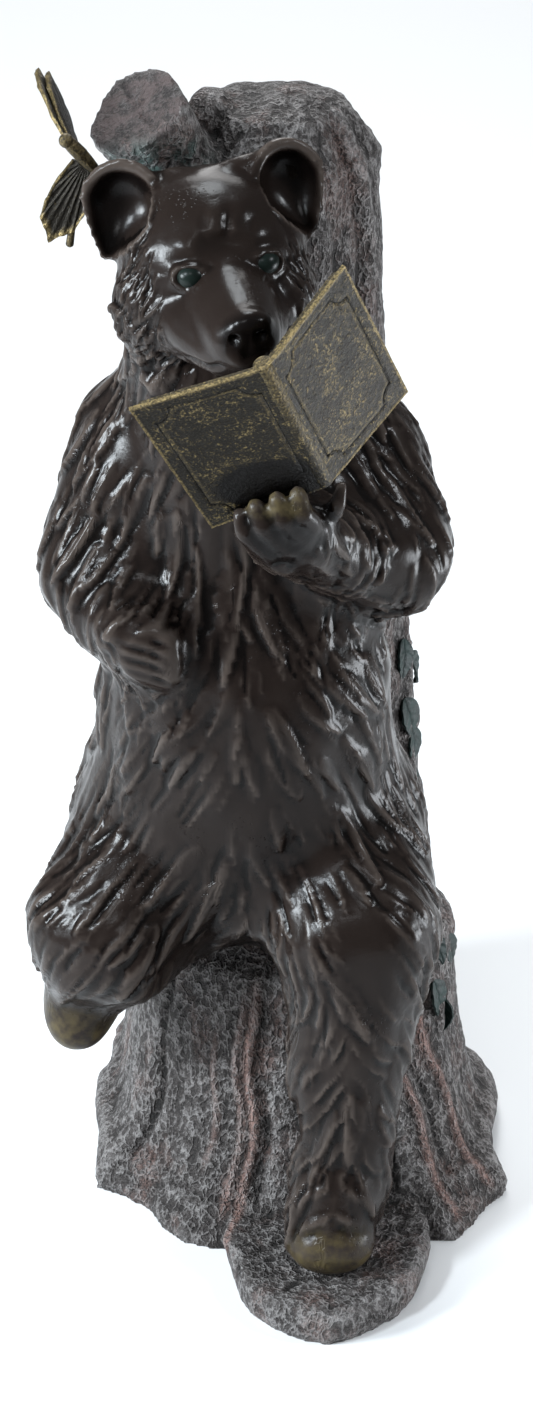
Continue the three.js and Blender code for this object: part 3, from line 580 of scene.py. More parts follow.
def bark_finish(colours):
    """Wrinkled grey bark with rusty ridges, pale crests with wear and a painted highlight, hollows darkened
    with painted shade, and green under the stub.
    """
    paint = Finish("bark_patina")
    crest = paint.attribute("crest")
    sawn = paint.attribute("sawn")
    seam = paint.attribute("seam")
    upright = paint.stretched((1, 1, 0.62))
    coarse = paint.speckle(12, 4, 0.65, upright)
    fine = paint.speckle(1.7, 4, 0.75)
    crumbs = paint.speckle(0.9, 2, 0.6)
    waves = paint.speckle(5.5, 2, 0.5, upright) - 0.5
    fold = paint.node("ShaderNodeMath", {"operation": "ABSOLUTE"}, {0: waves})
    wrinkles = 1 - paint.ramp(fold, 0.0, 0.11)
    height = wrinkles * (0.4 - sawn * 0.2) + coarse * 0.5 + fine * 0.4
    # Painted light on the bark: darker where the relief is low, painted shade in the hollows, and paler where
    # it is high, wear and a painted highlight on the crests
    lit = height + coarse * 0.3 + crest * 0.6 + fine * 0.5 + crumbs * 0.9
    low = paint.ramp(lit, 1.24, 1.78)
    high = paint.ramp(lit, 1.56, 2.4)
    patches = paint.speckle(34, 5, 0.65, upright)
    rust = paint.ramp(patches, 0.5, 0.66) * paint.ramp(fine, 0.38, 0.6)
    grey = paint.blend(high, paint.blend(low, colours.bark_dark, colours.bark), colours.bark_wear_and_highlight)
    tinted = paint.blend(rust * 0.3 + seam * paint.ramp(fine, 0.3, 0.6) * 0.7, grey, colours.bark_red)
    mottled = paint.blend(paint.ramp(coarse * 0.6 + fine * 0.4, 0.38, 0.58), colours.bark_dark, colours.sawn)
    cut = paint.blend(sawn * paint.ramp(coarse, 0.3, 0.6), tinted, mottled)
    green = paint.attribute("green") * paint.ramp(coarse, 0.4, 0.6)
    return paint.feed(
        base_color=paint.blend(green * 0.7, cut, colours.verdigris),
        metallic=0.2,
        specular_ior_level=0.2,
        roughness=0.56 - high * 0.2,
        normal=paint.bump(height, 4.2),
    )


# How high the mottling has to be before gold shows: more gold on the book than on the butterfly
BOOK_GOLD_FROM = 0.668
BUTTERFLY_GOLD_FROM = 0.74


def brass_finish(name, colours, gold_from):
    """Blackened brass with a gold speckle, bright along the edges from wear and with a painted highlight
    beside the engraving, and black in the engraving and in a painted shadow above the fingers.
    """
    paint = Finish(name)
    edge = paint.attribute("edge")
    crumbs = paint.speckle(1.4, 4, 0.7)
    coarse = paint.speckle(3.2, 3)
    patches = paint.speckle(26, 4)
    gold = paint.ramp(crumbs * 0.7 + coarse * 0.3 + patches * 0.3, gold_from, gold_from + 0.16)
    base = paint.blend(gold, colours.brass_dark, colours.brass)
    # Bright edges: wear on the rims, and a painted highlight on a thin line beside the engraved border
    rubbed_and_highlighted = paint.ramp(edge, 0.05, 1.0) * paint.ramp(crumbs, 0.3, 0.7)
    bright = paint.blend(rubbed_and_highlighted, base, colours.brass_wear_and_highlight)
    return paint.feed(
        # Black in the engraving and in the painted shadow above the fingers
        base_color=paint.blend(paint.ramp(edge, -0.1, -0.6), bright, colours.brass_engraving_and_shadow),
        metallic=0.6,
        specular_ior_level=0.25,
        roughness=0.22 + crumbs * 0.24,
        normal=paint.bump(crumbs * 0.7 + coarse * 1.4, 0.75),
    )


def eye_finish():
    """Dark green glass-like enamel."""
    paint = Finish("eye_enamel")
    iris = paint.blend(paint.speckle(5, 2), (0.003, 0.005, 0.004), (0.008, 0.013, 0.011))
    return paint.feed(base_color=iris, roughness=0.3, specular_ior_level=0.13)


def leaf_finish(colours):
    """Dark green patina on the vine."""
    paint = Finish("vine_patina")
    mottle = paint.ramp(paint.speckle(8, 5, 0.7), 0.4, 0.66)
    return paint.feed(
        base_color=paint.blend(mottle * 0.08, colours.leaf, colours.verdigris),
        metallic=0.0,
        specular_ior_level=0.2,
        roughness=0.42 + mottle * 0.15,
        normal=paint.bump(paint.speckle(2.5, 4), 0.7),
    )


# Bear


def head_axes():
    """The head's own directions: to the viewer's right, forward and up."""
    yaw = Matrix.Rotation(math.radians(HEAD_YAW), 3, "Z")
    turn = yaw @ Matrix.Rotation(math.radians(-HEAD_ROLL), 3, "Y")
    return turn @ Vector((1, 0, 0)), turn @ Vector((0, -1, 0)), turn @ Vector((0, 0, 1))


def head_turn():
    """The turn that lays x, y and z along the head's right, back and up."""
    right, forward, up = head_axes()
    return Matrix((right, -forward, up)).transposed().to_quaternion()


# Ears: centre, the way the cup faces, the lean of its top and its width
EARS = (
    (LEFT_EAR, (-0.22, -0.92, 0.3), 0.25, 26),
    (RIGHT_EAR, (0.36, -0.87, 0.3), -0.34, 23.5),
)
EAR_BOWL = 0.81


def ear_axes(facing, lean, width):
    """The ear's own axes, each as long as the ear is there: across, up and the way it faces."""
    forward = Vector(facing).normalized()
    up = Vector((math.sin(lean), 0, math.cos(lean)))
    up = (up - up.dot(forward) * forward).normalized()
    return np.array(Matrix((up.cross(forward) * width, up * 27, forward * 25)))


def ear_floor(across, up):
    """Depth of the ear's bowl, which leaves a thicker rim on top."""
    flat = np.hypot(across, up + 0.09)
    return -0.66 * np.sqrt(np.clip(1 - (flat / EAR_BOWL) ** 2, 0, 1))


def ear_taper(below):
    """How much narrower and longer the ear gets towards its point."""
    return 1 - 0.62 * below**1.5, 1 + 0.30 * below


def ear(centre, facing, lean, width):
    """An ear: a cup with a thick rim that draws to a point below."""
    cup = egg((0, 0, 0), (1, 1, 1), segments=48)
    places = points_of(cup)
    floor = ear_floor(places[:, 0], places[:, 1])
    places[:, 2] = np.where(places[:, 2] > 0, floor, places[:, 2] * 0.95)
    narrower, longer = ear_taper(np.clip(-places[:, 1], 0, 1))
    places[:, 0] *= narrower
    places[:, 1] *= longer
    place_points(cup, places @ ear_axes(facing, lean, width) + np.array(centre))
    return cup


def hollow_ears(piece):
    """Clears the bowls of the ears where the skull bulges into them."""
    places = points_of(piece)
    for centre, facing, lean, width in EARS:
        axes = ear_axes(facing, lean, width)
        own = (places - np.array(centre)) @ np.linalg.inv(axes)
        narrower, longer = ear_taper(np.clip(-own[:, 1] / 1.3, 0, 1))
        floor = ear_floor(own[:, 0] / narrower, own[:, 1] / longer)
        filled = (floor < 0) & (own[:, 2] > floor) & (own[:, 2] < 1.4)
        own[:, 2] = np.where(filled, floor, own[:, 2])
        places = np.where(filled[:, None], own @ axes + np.array(centre), places)
    place_points(piece, places)
    return piece


# Lids: the ring's radius, its thickness as a radius, its stretch and how far it stands before the eye
LID_RADIUS = 8.8
LID_THICKNESS = 1.9
LID_STRETCH = (1.18, 0.76, 1)
LID_FORWARD = 4.2


def lid(eye, outward):
    """A thin ring of skin round an eye, wider than it is high."""
    ring = added(
        bpy.ops.mesh.primitive_torus_add,
        major_segments=40,
        minor_segments=12,
        major_radius=LID_RADIUS * MM,
        minor_radius=LID_THICKNESS * MM,
    )
    ring.scale = LID_STRETCH
    ring.rotation_mode = "QUATERNION"
    ring.rotation_quaternion = Vector(outward).to_track_quat("Z", "Y")
    ring.location = (Vector(eye) + Vector(outward).normalized() * LID_FORWARD) * MM
    return settled(ring)


def head_parts():
    """The broad forms of the head."""
    turn = head_turn()
    return [
        egg(HEAD_CENTRE, (57, 54, 54), turn),
        egg((-27, -92, 675), (43, 30, 30), turn),
        bar((-24, -104, 663), (-13, -149, 661), 32, 22),
        bar((-22, -117, 679), (-12, -151, 670), 13, 11.5),
        egg((-10, -161, 671), (14.5, 10, 11.5), turn),
        egg((-18, -126, 641), (22, 32, 13), turn),
        bar((-46, -102, 652), (-24, -145, 649), 25, 15),
        bar((-4, -98, 654), (-6, -139, 651), 22, 14),
        egg((-62, -84, 652), (28, 34, 35), turn),
        egg((5, -80, 656), (25, 33, 33), turn),
        bar((-26, -60, 716), (-4, -57, 726), 11, 7),
        bar((-50, -56, 712), (-68, -52, 708), 11, 9),
    ]


def fine_head_parts():
    """The ears and the lids."""
    parts = [ear(*numbers) for numbers in EARS]
    right, forward, up = head_axes()
    parts.append(lid(LEFT_EYE, forward * 0.93 - right * 0.30 + up * 0.12))
    parts.append(lid(RIGHT_EYE, forward * 0.93 + right * 0.30 + up * 0.12))
    return parts


# Fingers that hold the book: base, knuckle and tip
READING_FINGERS = (
    ((2, -176, 536), (-12, -184, 554), (-15, -182, 563)),
    ((11, -177, 540), (-2, -187, 560), (-6, -184, 570)),
    ((21, -174, 544), (9, -187, 564), (6, -185, 575)),
    ((30, -169, 547), (20, -185, 566), (18, -184, 578)),
    ((36, -158, 548), (41, -165, 562), (43, -164, 572)),
)


def paw_parts():
    """Fingers that hold the book, the paw on the belly and the round toe pad of the front foot."""
    parts = []
    for base, knuckle, tip in READING_FINGERS:
        parts.append(bar(base, knuckle, 8.0, 7.0))
        parts.append(bar(knuckle, tip, 6.8, 5.0))
    parts.append(bar((-83, -124, 455), (-58, -126, 434), 22, 15))
    parts.append(bar((47, -172, 84), (42, -184, 56), 34, 32))
    parts.append(egg((41, -196, 45), (31, 25, 23)))
    return parts


# Radii of the skull that the rough face and ears are sunk to
SUNKEN_SKULL = (55, 52, 52)


def sink_head(piece):
    """Sinks the rough solid's face and ears into the skull, where finer forms are set."""
    places = points_of(piece)
    centre = np.array(HEAD_CENTRE)
    gap = np.linalg.norm((places - centre) / np.array(SUNKEN_SKULL), axis=1)
    on_head = (places[:, 2] > 636) | ((places[:, 2] > 600) & (places[:, 1] < -108))
    sunk = on_head & (gap > 1)
    places[sunk] = centre + (places[sunk] - centre) / gap[sunk, None] * 0.98
    place_points(piece, places)


# Guides that comb the fur: a place, its reach and the way the fur lies there
COMBS = (
    ((-98, -52, 530), 60, (-0.35, -0.25, -1.0)),
    ((-112, -82, 470), 42, (0.25, -0.75, -0.7)),
    ((-88, -112, 452), 38, (1.0, -0.45, -0.15)),
    ((-60, -100, 560), 45, (-0.5, -0.2, -1.0)),
    ((-35, -118, 520), 45, (0.35, -0.1, -1.0)),
    ((86, -50, 530), 55, (0.45, -0.35, -1.0)),
    ((92, -84, 478), 40, (-0.1, -0.8, -0.55)),
    ((55, -118, 500), 45, (-0.9, -0.5, 0.25)),
    ((20, -100, 610), 50, (0.2, -0.2, -1.0)),
    ((-60, -90, 650), 40, (-0.6, -0.2, -0.8)),
    ((20, -90, 660), 36, (0.6, -0.2, -0.8)),
    ((-25, -100, 715), 36, (-0.1, 0.7, 0.8)),
    ((-28, -60, 730), 50, (0.0, 1.0, -0.1)),
    ((-105, -120, 235), 55, (-0.75, -0.2, -0.55)),
    ((-118, -105, 180), 34, (-0.2, -0.3, -1.0)),
    ((60, -140, 250), 48, (0.1, -0.6, -0.8)),
)


def combed_flow(places, normals):
    """The way the fur lies at every place: down and away from the midlines, bent by the combs."""
    upper = eased(places[:, 2], 180, 300)
    midline = TORSO_MIDLINE * upper + SHIN_MIDLINE * (1 - upper)
    midline = np.where(places[:, 0] < -40, -60 * (1 - upper) + TORSO_MIDLINE * upper, midline)
    outward = np.tanh((places[:, 0] - midline) / 22)
    waves = roughness(places, 60, octaves=1)
    sideways = 0.62 * outward + 0.35 * waves
    flow = np.stack([sideways, np.zeros(len(places)), np.full(len(places), -1.0)], axis=1)
    for spot, reach, way in COMBS:
        weight = 2.2 * nearness(places, spot, reach)
        flow += weight[:, None] * np.array(Vector(way).normalized())
    flow -= np.sum(flow * normals, axis=1)[:, None] * normals
    return flow / np.maximum(np.linalg.norm(flow, axis=1), 1e-6)[:, None]


# Smooth places: a middle and a reach
BARE_SPOTS = (
    (Vector((-20, -132, 672)), 46),
    (Vector((-26, -104, 700)), 40),
    (Vector((-30, -72, 728)), 40),
    (LEFT_EAR, 33),
    (RIGHT_EAR, 33),
    (Vector((-122, -122, 160)), 32),
    (Vector((41, -212, 38)), 24),
    (Vector((6, -184, 560)), 28),
    (Vector((-66, -148, 445)), 24),
)


# Edges where the fur of the shin ends over the toes
ANKLE_EDGES = (
    ((14, -194, 66), (24, -202, 80), (45, -207, 98), (56, -204, 84), (64, -196, 70)),
    ((20, -204, 56), (42, -213, 76), (60, -203, 60)),
)


# Folds between the fingers of the paw on the belly: how far each lies below the paw's middle
BELLY_PAW_FOLDS = (-12, -3, 6, 15)


def furred(places):
    """How much fur a place carries: none on the muzzle, ears, paws and soles."""
    cover = np.ones(len(places))
    for spot, reach in BARE_SPOTS:
        gap = np.linalg.norm(places - np.array(spot), axis=1)
        cover = np.minimum(cover, eased(gap, 0.8 * reach, 1.2 * reach))
    return cover


# Furrows of the brow, the cleft of the nose and the folds of the neck: two ends and a depth
FACE_GROOVES = (
    ((-21, -98, 722), (-23, -112, 700), 1.8),
    ((-36, -98, 716), (-36, -112, 700), 0.7),
    ((-6, -94, 718), (-9, -106, 704), 0.7),
    ((-10, -172, 672), (-11, -168, 654), 1.8),
    ((-69, -104, 640), (-66, -96, 612), 3.6),
    ((-60, -110, 636), (-58, -104, 608), 3.0),
    ((-50, -118, 630), (-48, -112, 604), 2.4),
    ((-82, -80, 640), (-80, -76, 612), 2.0),
)


def carve_face(places, normals):
    """Eye sockets, nostrils, mouth, furrows and the folds of the neck."""
    right, forward, up = (np.array(axis) for axis in head_axes())
    for hand, eye in ((-1, LEFT_EYE), (1, RIGHT_EYE)):
        inner = np.array(eye) - hand * 11 * right + 4 * forward
        places = places - nearness(places, inner - 2 * up, (10, 14, 10))[:, None] * forward * 3.5
        places = places - nearness(places, np.array(eye) - 13 * up, (14, 15, 8))[:, None] * forward * 2
        brow = np.array(eye) + 17 * up - 3 * forward + hand * 4 * right
        places = places + nearness(places, brow, (17, 16, 9))[:, None] * forward * 1.6
        bump = np.array((-21, -100, 717)) + hand * 9 * right
        places = places + nearness(places, bump, (12, 16, 10))[:, None] * forward * 2.2
        nostril = np.array((-10, -170, 668)) + hand * 7.5 * right
        places = places - nearness(places, nostril, (5, 8, 4.5))[:, None] * forward * 6
        corner = np.array((-13, -166, 656))
        mouth = [corner, corner + hand * 16 * right - 14 * forward - 10 * up]
        mouth.append(mouth[1] + hand * 16 * right - 26 * forward - 4 * up)
        places = creased(places, normals, mouth, 2.4, 3.0)
    places = places - nearness(places, (-24, -114, 699), (22, 16, 10))[:, None] * forward * 4.5
    for start, end, depth in FACE_GROOVES:
        places = creased(places, normals, [start, end], 2.8, depth)
    return places


def bear_skin(sizes):
    """The bear's rough solid joined with finer parts and evened out to one skin."""
    rough = copy_of_node("bear", "bronze_bear")
    sink_head(rough)
    modified(rough, "REMESH", mode="VOXEL", voxel_size=sizes.body_grain)
    relaxed(rough, 14, keep_size=False)
    modified(rough, "SUBSURF", levels=1, render_levels=1)
    skin = joined([rough, *head_parts()], "bronze_bear")
    modified(skin, "REMESH", mode="VOXEL", voxel_size=1.3 * sizes.skin_grain)
    relaxed(skin, 30)
    skin = joined([skin, *fine_head_parts(), *paw_parts()], "bronze_bear")
    modified(skin, "REMESH", mode="VOXEL", voxel_size=sizes.skin_grain)
    hollow_ears(skin)
    return relaxed(skin, 5)


def refine(piece, chosen):
    """Divides the chosen faces in four."""
    mesh = bmesh.new()
    mesh.from_mesh(piece.data)
    edges = {edge for face in mesh.faces if chosen(face.calc_center_median()) for edge in face.edges}
    bmesh.ops.subdivide_edges(mesh, edges=list(edges), cuts=1, use_grid_fill=True, smooth=1.0)
    mesh.to_mesh(piece.data)
    mesh.free()
    piece.data.update()
    return piece


def shin_tufts(places, normals):
    """Height of the tufts that overlap down the shin, in arrows that point up."""
    height = places[:, 2]
    aside = places[:, 0] - SHIN_MIDLINE + 5 * roughness(places, 34, octaves=1, shift=8.2)
    sway = roughness(places, 24, octaves=1, shift=2.9)
    step = -(height + 1.7 * np.abs(aside)) / 20 + 0.55 * sway + 0.45 * (aside > 0)
    rise = step - np.floor(step)
    shape = rise**2.2 * (1 - eased(rise, 0.88, 1))
    patchy = np.clip(0.55 + 1.3 * roughness(places, 22, octaves=1, shift=4.6), 0.1, 1)
    front = eased(-normals[:, 1], 0.1, 0.5) * eased(places[:, 0], 0, 16) * eased(np.abs(aside), 0, 4)
    return 3.0 * (shape - 0.25) * patchy * front * eased(height, 82, 100) * (1 - eased(height, 180, 225))


def lock_layers(sizes, places, cover):
    """Layers of locks: their places, number, length and width, curl, whether scooped, and weight."""
    head = eased(places[:, 2], 625, 650)
    shown = np.flatnonzero((cover > 0.15) & (places[:, 1] < 15))
    lower = shown[head[shown] < 0.5]
    upper = shown[head[shown] >= 0.5]
    length, width = sizes.lock_length / MM, sizes.lock_width / MM
    return (
        (lower, 560, (length, width), 0.22, False, 1.0),
        (lower, 520, (0.6 * length, 0.55 * width), 0.3, False, 0.5),
        (lower, 620, (0.55 * length, 0.32 * width), 0.3, False, 0.42),
        (lower, 520, (0.6 * length, 0.4 * width), 0.2, True, -0.45),
        (upper, 190, (0.5 * length, 0.75 * width), 0.5, False, 0.62),
        (upper, 160, (0.3 * length, 0.4 * width), 0.4, True, -0.4),
    )


def fur_relief(sizes, places, normals, cover):
    """The summed height of all layers of locks, and how far each place lies across its top lock."""
    random = np.random.default_rng(4)
    flow = combed_flow(places, normals)
    relief = np.zeros(len(places))
    across = np.zeros(len(places))
    for pool, count, size, bend, scooped, weight in lock_layers(sizes, places, cover):
        roots = random.choice(pool, count, replace=False)
        rise, aside = lay_locks(places, normals, flow, roots, size, bend, random, scooped)
        across = np.where(rise > 0.3, aside, across)
        relief += weight * rise
    return relief, across


def calmed(places):
    """How strongly the locks stand out: less in quiet patches and on the front shin."""
    calm = 0.7 + 0.3 * np.clip(1 + 1.8 * roughness(places, 80, octaves=1, shift=7.3), 0, 1)
    return calm * (1 - 0.4 * np.sqrt(nearness(places, (52, -160, 135), (60, 80, 90))))


def store_bear_paint(skin, across):
    """Keeps the crests, the strands and the olive paws for the bear's finish. The crests give the hollows
    patina and painted shade, and the ridges wear and a painted highlight.
    """
    places = points_of(skin)
    crest = np.clip(0.5 + 0.62 * ridges(skin, 8), 0, 1)
    # Round the nose and over the palm the crests are lowered, so these are darker and have no lightened
    # crests
    nose = nearness(places, NOSE, (19, 17, 17))
    palm = nearness(places, READING_PALM, (44, 34, 34))
    store(skin, "crest", crest * (1 - 0.95 * np.sqrt(nose)) * (1 - 0.6 * np.sqrt(palm)))
    store(skin, "strand", across)
    feet = np.maximum(nearness(places, FRONT_TOES, (40, 34, 34)), nearness(places, RAISED_SOLE, (46, 50, 42)))
    fingertips = nearness(places, FINGERTIPS, (44, 22, 14))
    store(skin, "olive", np.clip(1.8 * np.maximum(feet, fingertips), 0, 1))


def bear_piece(sizes):
    """The whole bear with its carving."""
    skin = bear_skin(sizes)
    face = FACE_CENTRE * MM
    refine(skin, lambda spot: (spot - face).length < FACE_REACH * MM)
    relaxed(skin, 4)
    places = points_of(skin)
    normals = normals_of(skin)
    places = carve_face(places, normals)
    cover = furred(places)
    relief, across = fur_relief(sizes, places, normals, cover)
    calm = calmed(places)
    relief = evened(skin, relief, 1) - 0.3
    places = places + normals * (sizes.lock_height / MM * cover * calm * relief)[:, None]
    for route in ANKLE_EDGES:
        places = creased(places, normals, route, 3.4, -2.2)
    places = places + normals * shin_tufts(places, normals)[:, None]
    for drop in BELLY_PAW_FOLDS:
        fold = ((-92, -146, 454 - drop), (-70, -152, 450 - drop), (-48, -144, 440 - 0.8 * drop))
        places = creased(places, normals, fold, 2.4, 1.8)
    place_points(skin, places)
    store_bear_paint(skin, across)
    triangles = 2 * len(skin.data.polygons)
    modified(skin, "DECIMATE", ratio=min(1.0, TRIANGLES_PER_PIECE / triangles))
    return smooth_shaded(skin)


def eye_pieces(sizes):
    """The two glossy eyes."""
    radius = sizes.eye_radius / MM
    balls = []
    for eye, name in ((LEFT_EYE, "left_eye"), (RIGHT_EYE, "right_eye")):
        ball = egg(eye, (radius * 1.08, radius, radius * 0.92), head_turn(), 40)
        ball.name = name
        balls.append(smooth_shaded(ball))
    return balls


# Stump


# Flutes and ridges of the stump: a heading in degrees, the depth, the width and the two end heights
BASE_FLUTES = (
    (209, 4.0, 3.6, 20, 190),
    (224, -1.6, 12.0, 20, 170),
    (251, -3.2, 2.4, 8, 200),
    (246, -1.6, 2.0, 14, 180),
    (256, 3.0, 3.0, 10, 120),
    (195, -4.0, 20.0, 16, 230),
    (352, -3.5, 20.0, 14, 220),
    (236, -1.2, 2.0, 40, 150),
    (303, 3.0, 3.0, 14, 130),
    (314, -3.0, 2.6, 4, 170),
    (320, 3.0, 3.2, 14, 190),
    (329, -3.0, 2.6, 6, 180),
    (346, 1.6, 4.0, 30, 190),
    (20, 2.2, 5.0, 20, 190),
    (60, 4.5, 6.0, 10, 190),
    (95, 4.0, 6.0, 10, 190),
    (140, 3.0, 6.0, 20, 190),
    (180, 1.8, 4.0, 20, 190),
)
TRUNK_FLUTES = (
    (338, -3.4, 4.5, 380, 735),
    (326, 2.6, 3.5, 380, 730),
    (300, 2.4, 4.0, 560, 740),
    (262, 2.2, 4.0, 600, 740),
    (2, 2.6, 5.0, 220, 700),
    (28, 3.0, 5.0, 200, 700),
    (55, -2.6, 6.0, 200, 700),
    (80, 3.0, 5.0, 200, 690),
    (110, 2.6, 5.0, 200, 700),
    (135, -2.4, 6.0, 200, 700),
    (160, 3.0, 5.0, 200, 690),
    (190, 2.6, 5.0, 200, 640),
)


# Cracks in the sawn face and in the front slab: two ends and a depth
CRACKS = (
    ((-88, -30, 746), (-70, -8, 744), 3.0),
    ((-70, -8, 744), (-50, 0, 742), 2.6),
    ((-76, -14, 741), (-84, 6, 748), 2.6),
    ((-66, -30, 738), (-76, -14, 741), 2.2),
    ((10, -226, 25), (22, -212, 26), 2.4),
    ((22, -212, 26), (20, -198, 26), 2.0),
    ((-2, -196, 24), (12, -190, 26), 1.6),
)
# The dip across the trunk's top, the middle of the front slab, and the ledge above the foot
TOP_DIP = ((-18, -20, 738), (-8, 60, 738))
FRONT_SLAB = (39, -170, 14)
LEDGE_HEIGHT = 27
# How far the roots spread at both sides, and the heights between which the base turns into the trunk
ROOT_SPREAD = 10
BASE_TOP = (175, 225)
# The stub's radius and length with some room, and the radius and depth of its sawn face
STUB_ROOM = (44, 62)
SAWN_ROOM = (30, 5)
# The hump on the trunk's top: two ends and their radii
HUMP = ((-30, 24, 640), (-32, 22, 722), 20, 17)
# The middle of the green patina below the stub
GREEN_PATCH = (-62, -40, 708)


def fluted(places, centre, flutes, height):
    """Depth of upright flutes, which sway a little as they climb."""
    offset = places[:, :2] - np.array(centre)
    heading = np.degrees(np.arctan2(offset[:, 1], offset[:, 0]))
    reach = np.hypot(offset[:, 0], offset[:, 1])
    sway = 2.2 * np.sin(height / 31) + 1.2 * np.sin(height / 13 + 2)
    depth = np.zeros(len(places))
    for middle, deep, width, low, high in flutes:
        gap = (heading - middle - sway + 540) % 360 - 180
        aside = np.radians(gap) * reach
        fade = eased(height, low, low + 14) * (1 - eased(height, high - 30, high))
        depth += deep * fade * np.exp(-((aside / width) ** 2))
    return depth


def stub_parts(places):
    """Which places lie on the stub, and which of them on its sawn face."""
    axis = np.array(STUB_AXIS)
    from_face = places - np.array(STUB_FACE)
    face_gap = from_face @ axis
    from_axis = np.linalg.norm(from_face - face_gap[:, None] * axis, axis=1)
    on_stub = (from_axis < STUB_ROOM[0]) & (face_gap > -STUB_ROOM[1])
    sawn = (face_gap > -SAWN_ROOM[1]) & (from_axis < SAWN_ROOM[0])
    return on_stub, sawn


def foot_shift(places, height, from_base):
    """How far each place of the foot moves outwards over the roots, and inwards at the ground."""
    offset = (places - np.array((*BASE_CENTRE, 0))) * np.array((1, 1, 0))
    radial = offset / np.maximum(from_base, 1)[:, None]
    toes = np.exp(-(((height - 20) / 11) ** 2)) - 0.35 * np.exp(-((height / 6) ** 2))
    pushed = ROOT_SPREAD * radial[:, 0] ** 4 * toes - 2.5 * (1 - eased(height, 0, 9))
    return radial * (pushed * eased(from_base, 40, 80))[:, None]


def bark_relief(sizes, places, sawn):
    """Height of the bark, which is low on the sawn face."""
    upright = roughness(places, 7, stretch=(1, 1, 3.2), octaves=3)
    lumps = roughness(places, 5.5, octaves=2, shift=3.1)
    broad = roughness(places, 34, stretch=(1, 1, 1.8), octaves=2, shift=5.7)
    relief = sizes.bark_height / MM * (0.5 * upright + 0.45 * lumps)
    return np.where(sawn, 0.3 * relief, relief) + 1.5 * broad


def stump_piece(sizes):
    """The stump's solid with flutes, bark, cracks, a ledge at the foot and a sawn face."""
    skin = joined([copy_of_node("tree_stump", "tree_stump_bark"), bar(*HUMP)], "tree_stump_bark")
    modified(skin, "REMESH", mode="VOXEL", voxel_size=sizes.bark_grain)
    relaxed(skin, 8)
    places = points_of(skin)
    normals = normals_of(skin)
    height = places[:, 2]
    on_stub, sawn = stub_parts(places)
    from_base = np.hypot(places[:, 0] - BASE_CENTRE[0], places[:, 1] - BASE_CENTRE[1])
    on_base = (1 - eased(height, *BASE_TOP)) * eased(from_base, 70, 84)
    side = 1 - np.abs(normals[:, 2])
    depth = fluted(places, BASE_CENTRE, BASE_FLUTES, height) * on_base * eased(side, 0.2, 0.6)
    trunk = fluted(places, TRUNK_CENTRE, TRUNK_FLUTES, height) * (1 - on_base) * ~on_stub
    from_ledge = height - (LEDGE_HEIGHT + 5 * roughness(places, 45, octaves=1))
    ledge = np.exp(-((from_ledge / 3.2) ** 2)) - 0.7 * np.exp(-(((from_ledge + 8) / 4) ** 2))
    on_slab = nearness(places, FRONT_SLAB, (96, 108, 60)) > 0
    depth = depth + trunk - 1.1 * ledge * on_base * ~on_slab
    relief = bark_relief(sizes, places, sawn)
    shift = foot_shift(places, height, from_base)
    places = places + normals * ((relief - depth) * eased(height, 2, 22))[:, None]
    places = places + shift
    for start, end, deep in CRACKS:
        places = creased(places, normals, [start, end], 2.0, deep)
    places = creased(places, normals, TOP_DIP, 9, 6)
    places[:, 2] = np.maximum(places[:, 2], 0)
    place_points(skin, places)
    # The crest numbers drive the bark's painted highlight on its crests and painted shade in its hollows
    store(skin, "crest", np.clip(0.5 + 0.7 * ridges(skin, 6), 0, 1))
    store(skin, "green", nearness(places, GREEN_PATCH, (56, 46, 30)))
    store(skin, "sawn", sawn.astype(float))
    seams = [flute for flute in BASE_FLUTES if flute[1] < 0 and flute[2] < 4]
    store(skin, "seam", np.clip(-0.4 * fluted(places, BASE_CENTRE, seams, height) * on_base, 0, 1))
    return smooth_shaded(skin)


# Leaves of the vine: the height, the heading off the vine's own, the turn of the tip and the size
LEAVES = (
    (184, -6, -14, 0.85),
    (168, 7, 22, 0.85),
    (150, -5, 6, 0.95),
    (132, 3, -10, 0.8),
    (362, -7, -22, 0.85),
    (344, 6, 20, 0.9),
    (322, -5, 10, 0.95),
    (298, 4, -14, 0.85),
    (274, -3, 10, 0.8),
)


def vine_spot(stump, height, aside):
    """A place on the stump along the vine, and the way that the bark faces there."""
    centre = BASE_CENTRE if height < 200 else TRUNK_CENTRE
    heading = math.radians(-16 + 6 * math.sin(height / 26) + aside)
    outward = Vector((math.cos(heading), math.sin(heading), 0))
    start = (Vector((*centre, height)) + 250 * outward) * MM
    place, normal, _, _ = stump.ray_cast(start, -outward)
    return place / MM, normal


# Length and half width of a leaf of size 1
LEAF_LENGTH = 32
LEAF_HALF_WIDTH = 10.5


def leaf_shape(sizes):
    """One leaf: a pointed blade folded along its rib, with its tip along -Y and its back to -Z."""
    blade = added(bpy.ops.mesh.primitive_grid_add, x_subdivisions=16, y_subdivisions=28, size=2 * MM)
    flat = points_of(blade)
    along = 0.5 - 0.5 * flat[:, 1]
    half = LEAF_HALF_WIDTH * np.sin(np.pi * np.clip(along, 0.015, 0.985) ** 0.72) ** 0.8
    aside = flat[:, 0] * half
    rib = 0.9 * np.exp(-((aside / 1.0) ** 2))
    veins = 0.3 * np.sin(26 * along - 0.5 * np.abs(aside))
    fold = 0.12 * np.abs(aside) + 2.2 * np.sin(np.pi * along) + 0.8
    places = np.stack([aside, 6 - LEAF_LENGTH * along, fold - rib + veins], axis=1)
    place_points(blade, places)
    return modified(blade, "SOLIDIFY", thickness=sizes.leaf_thickness, offset=0)


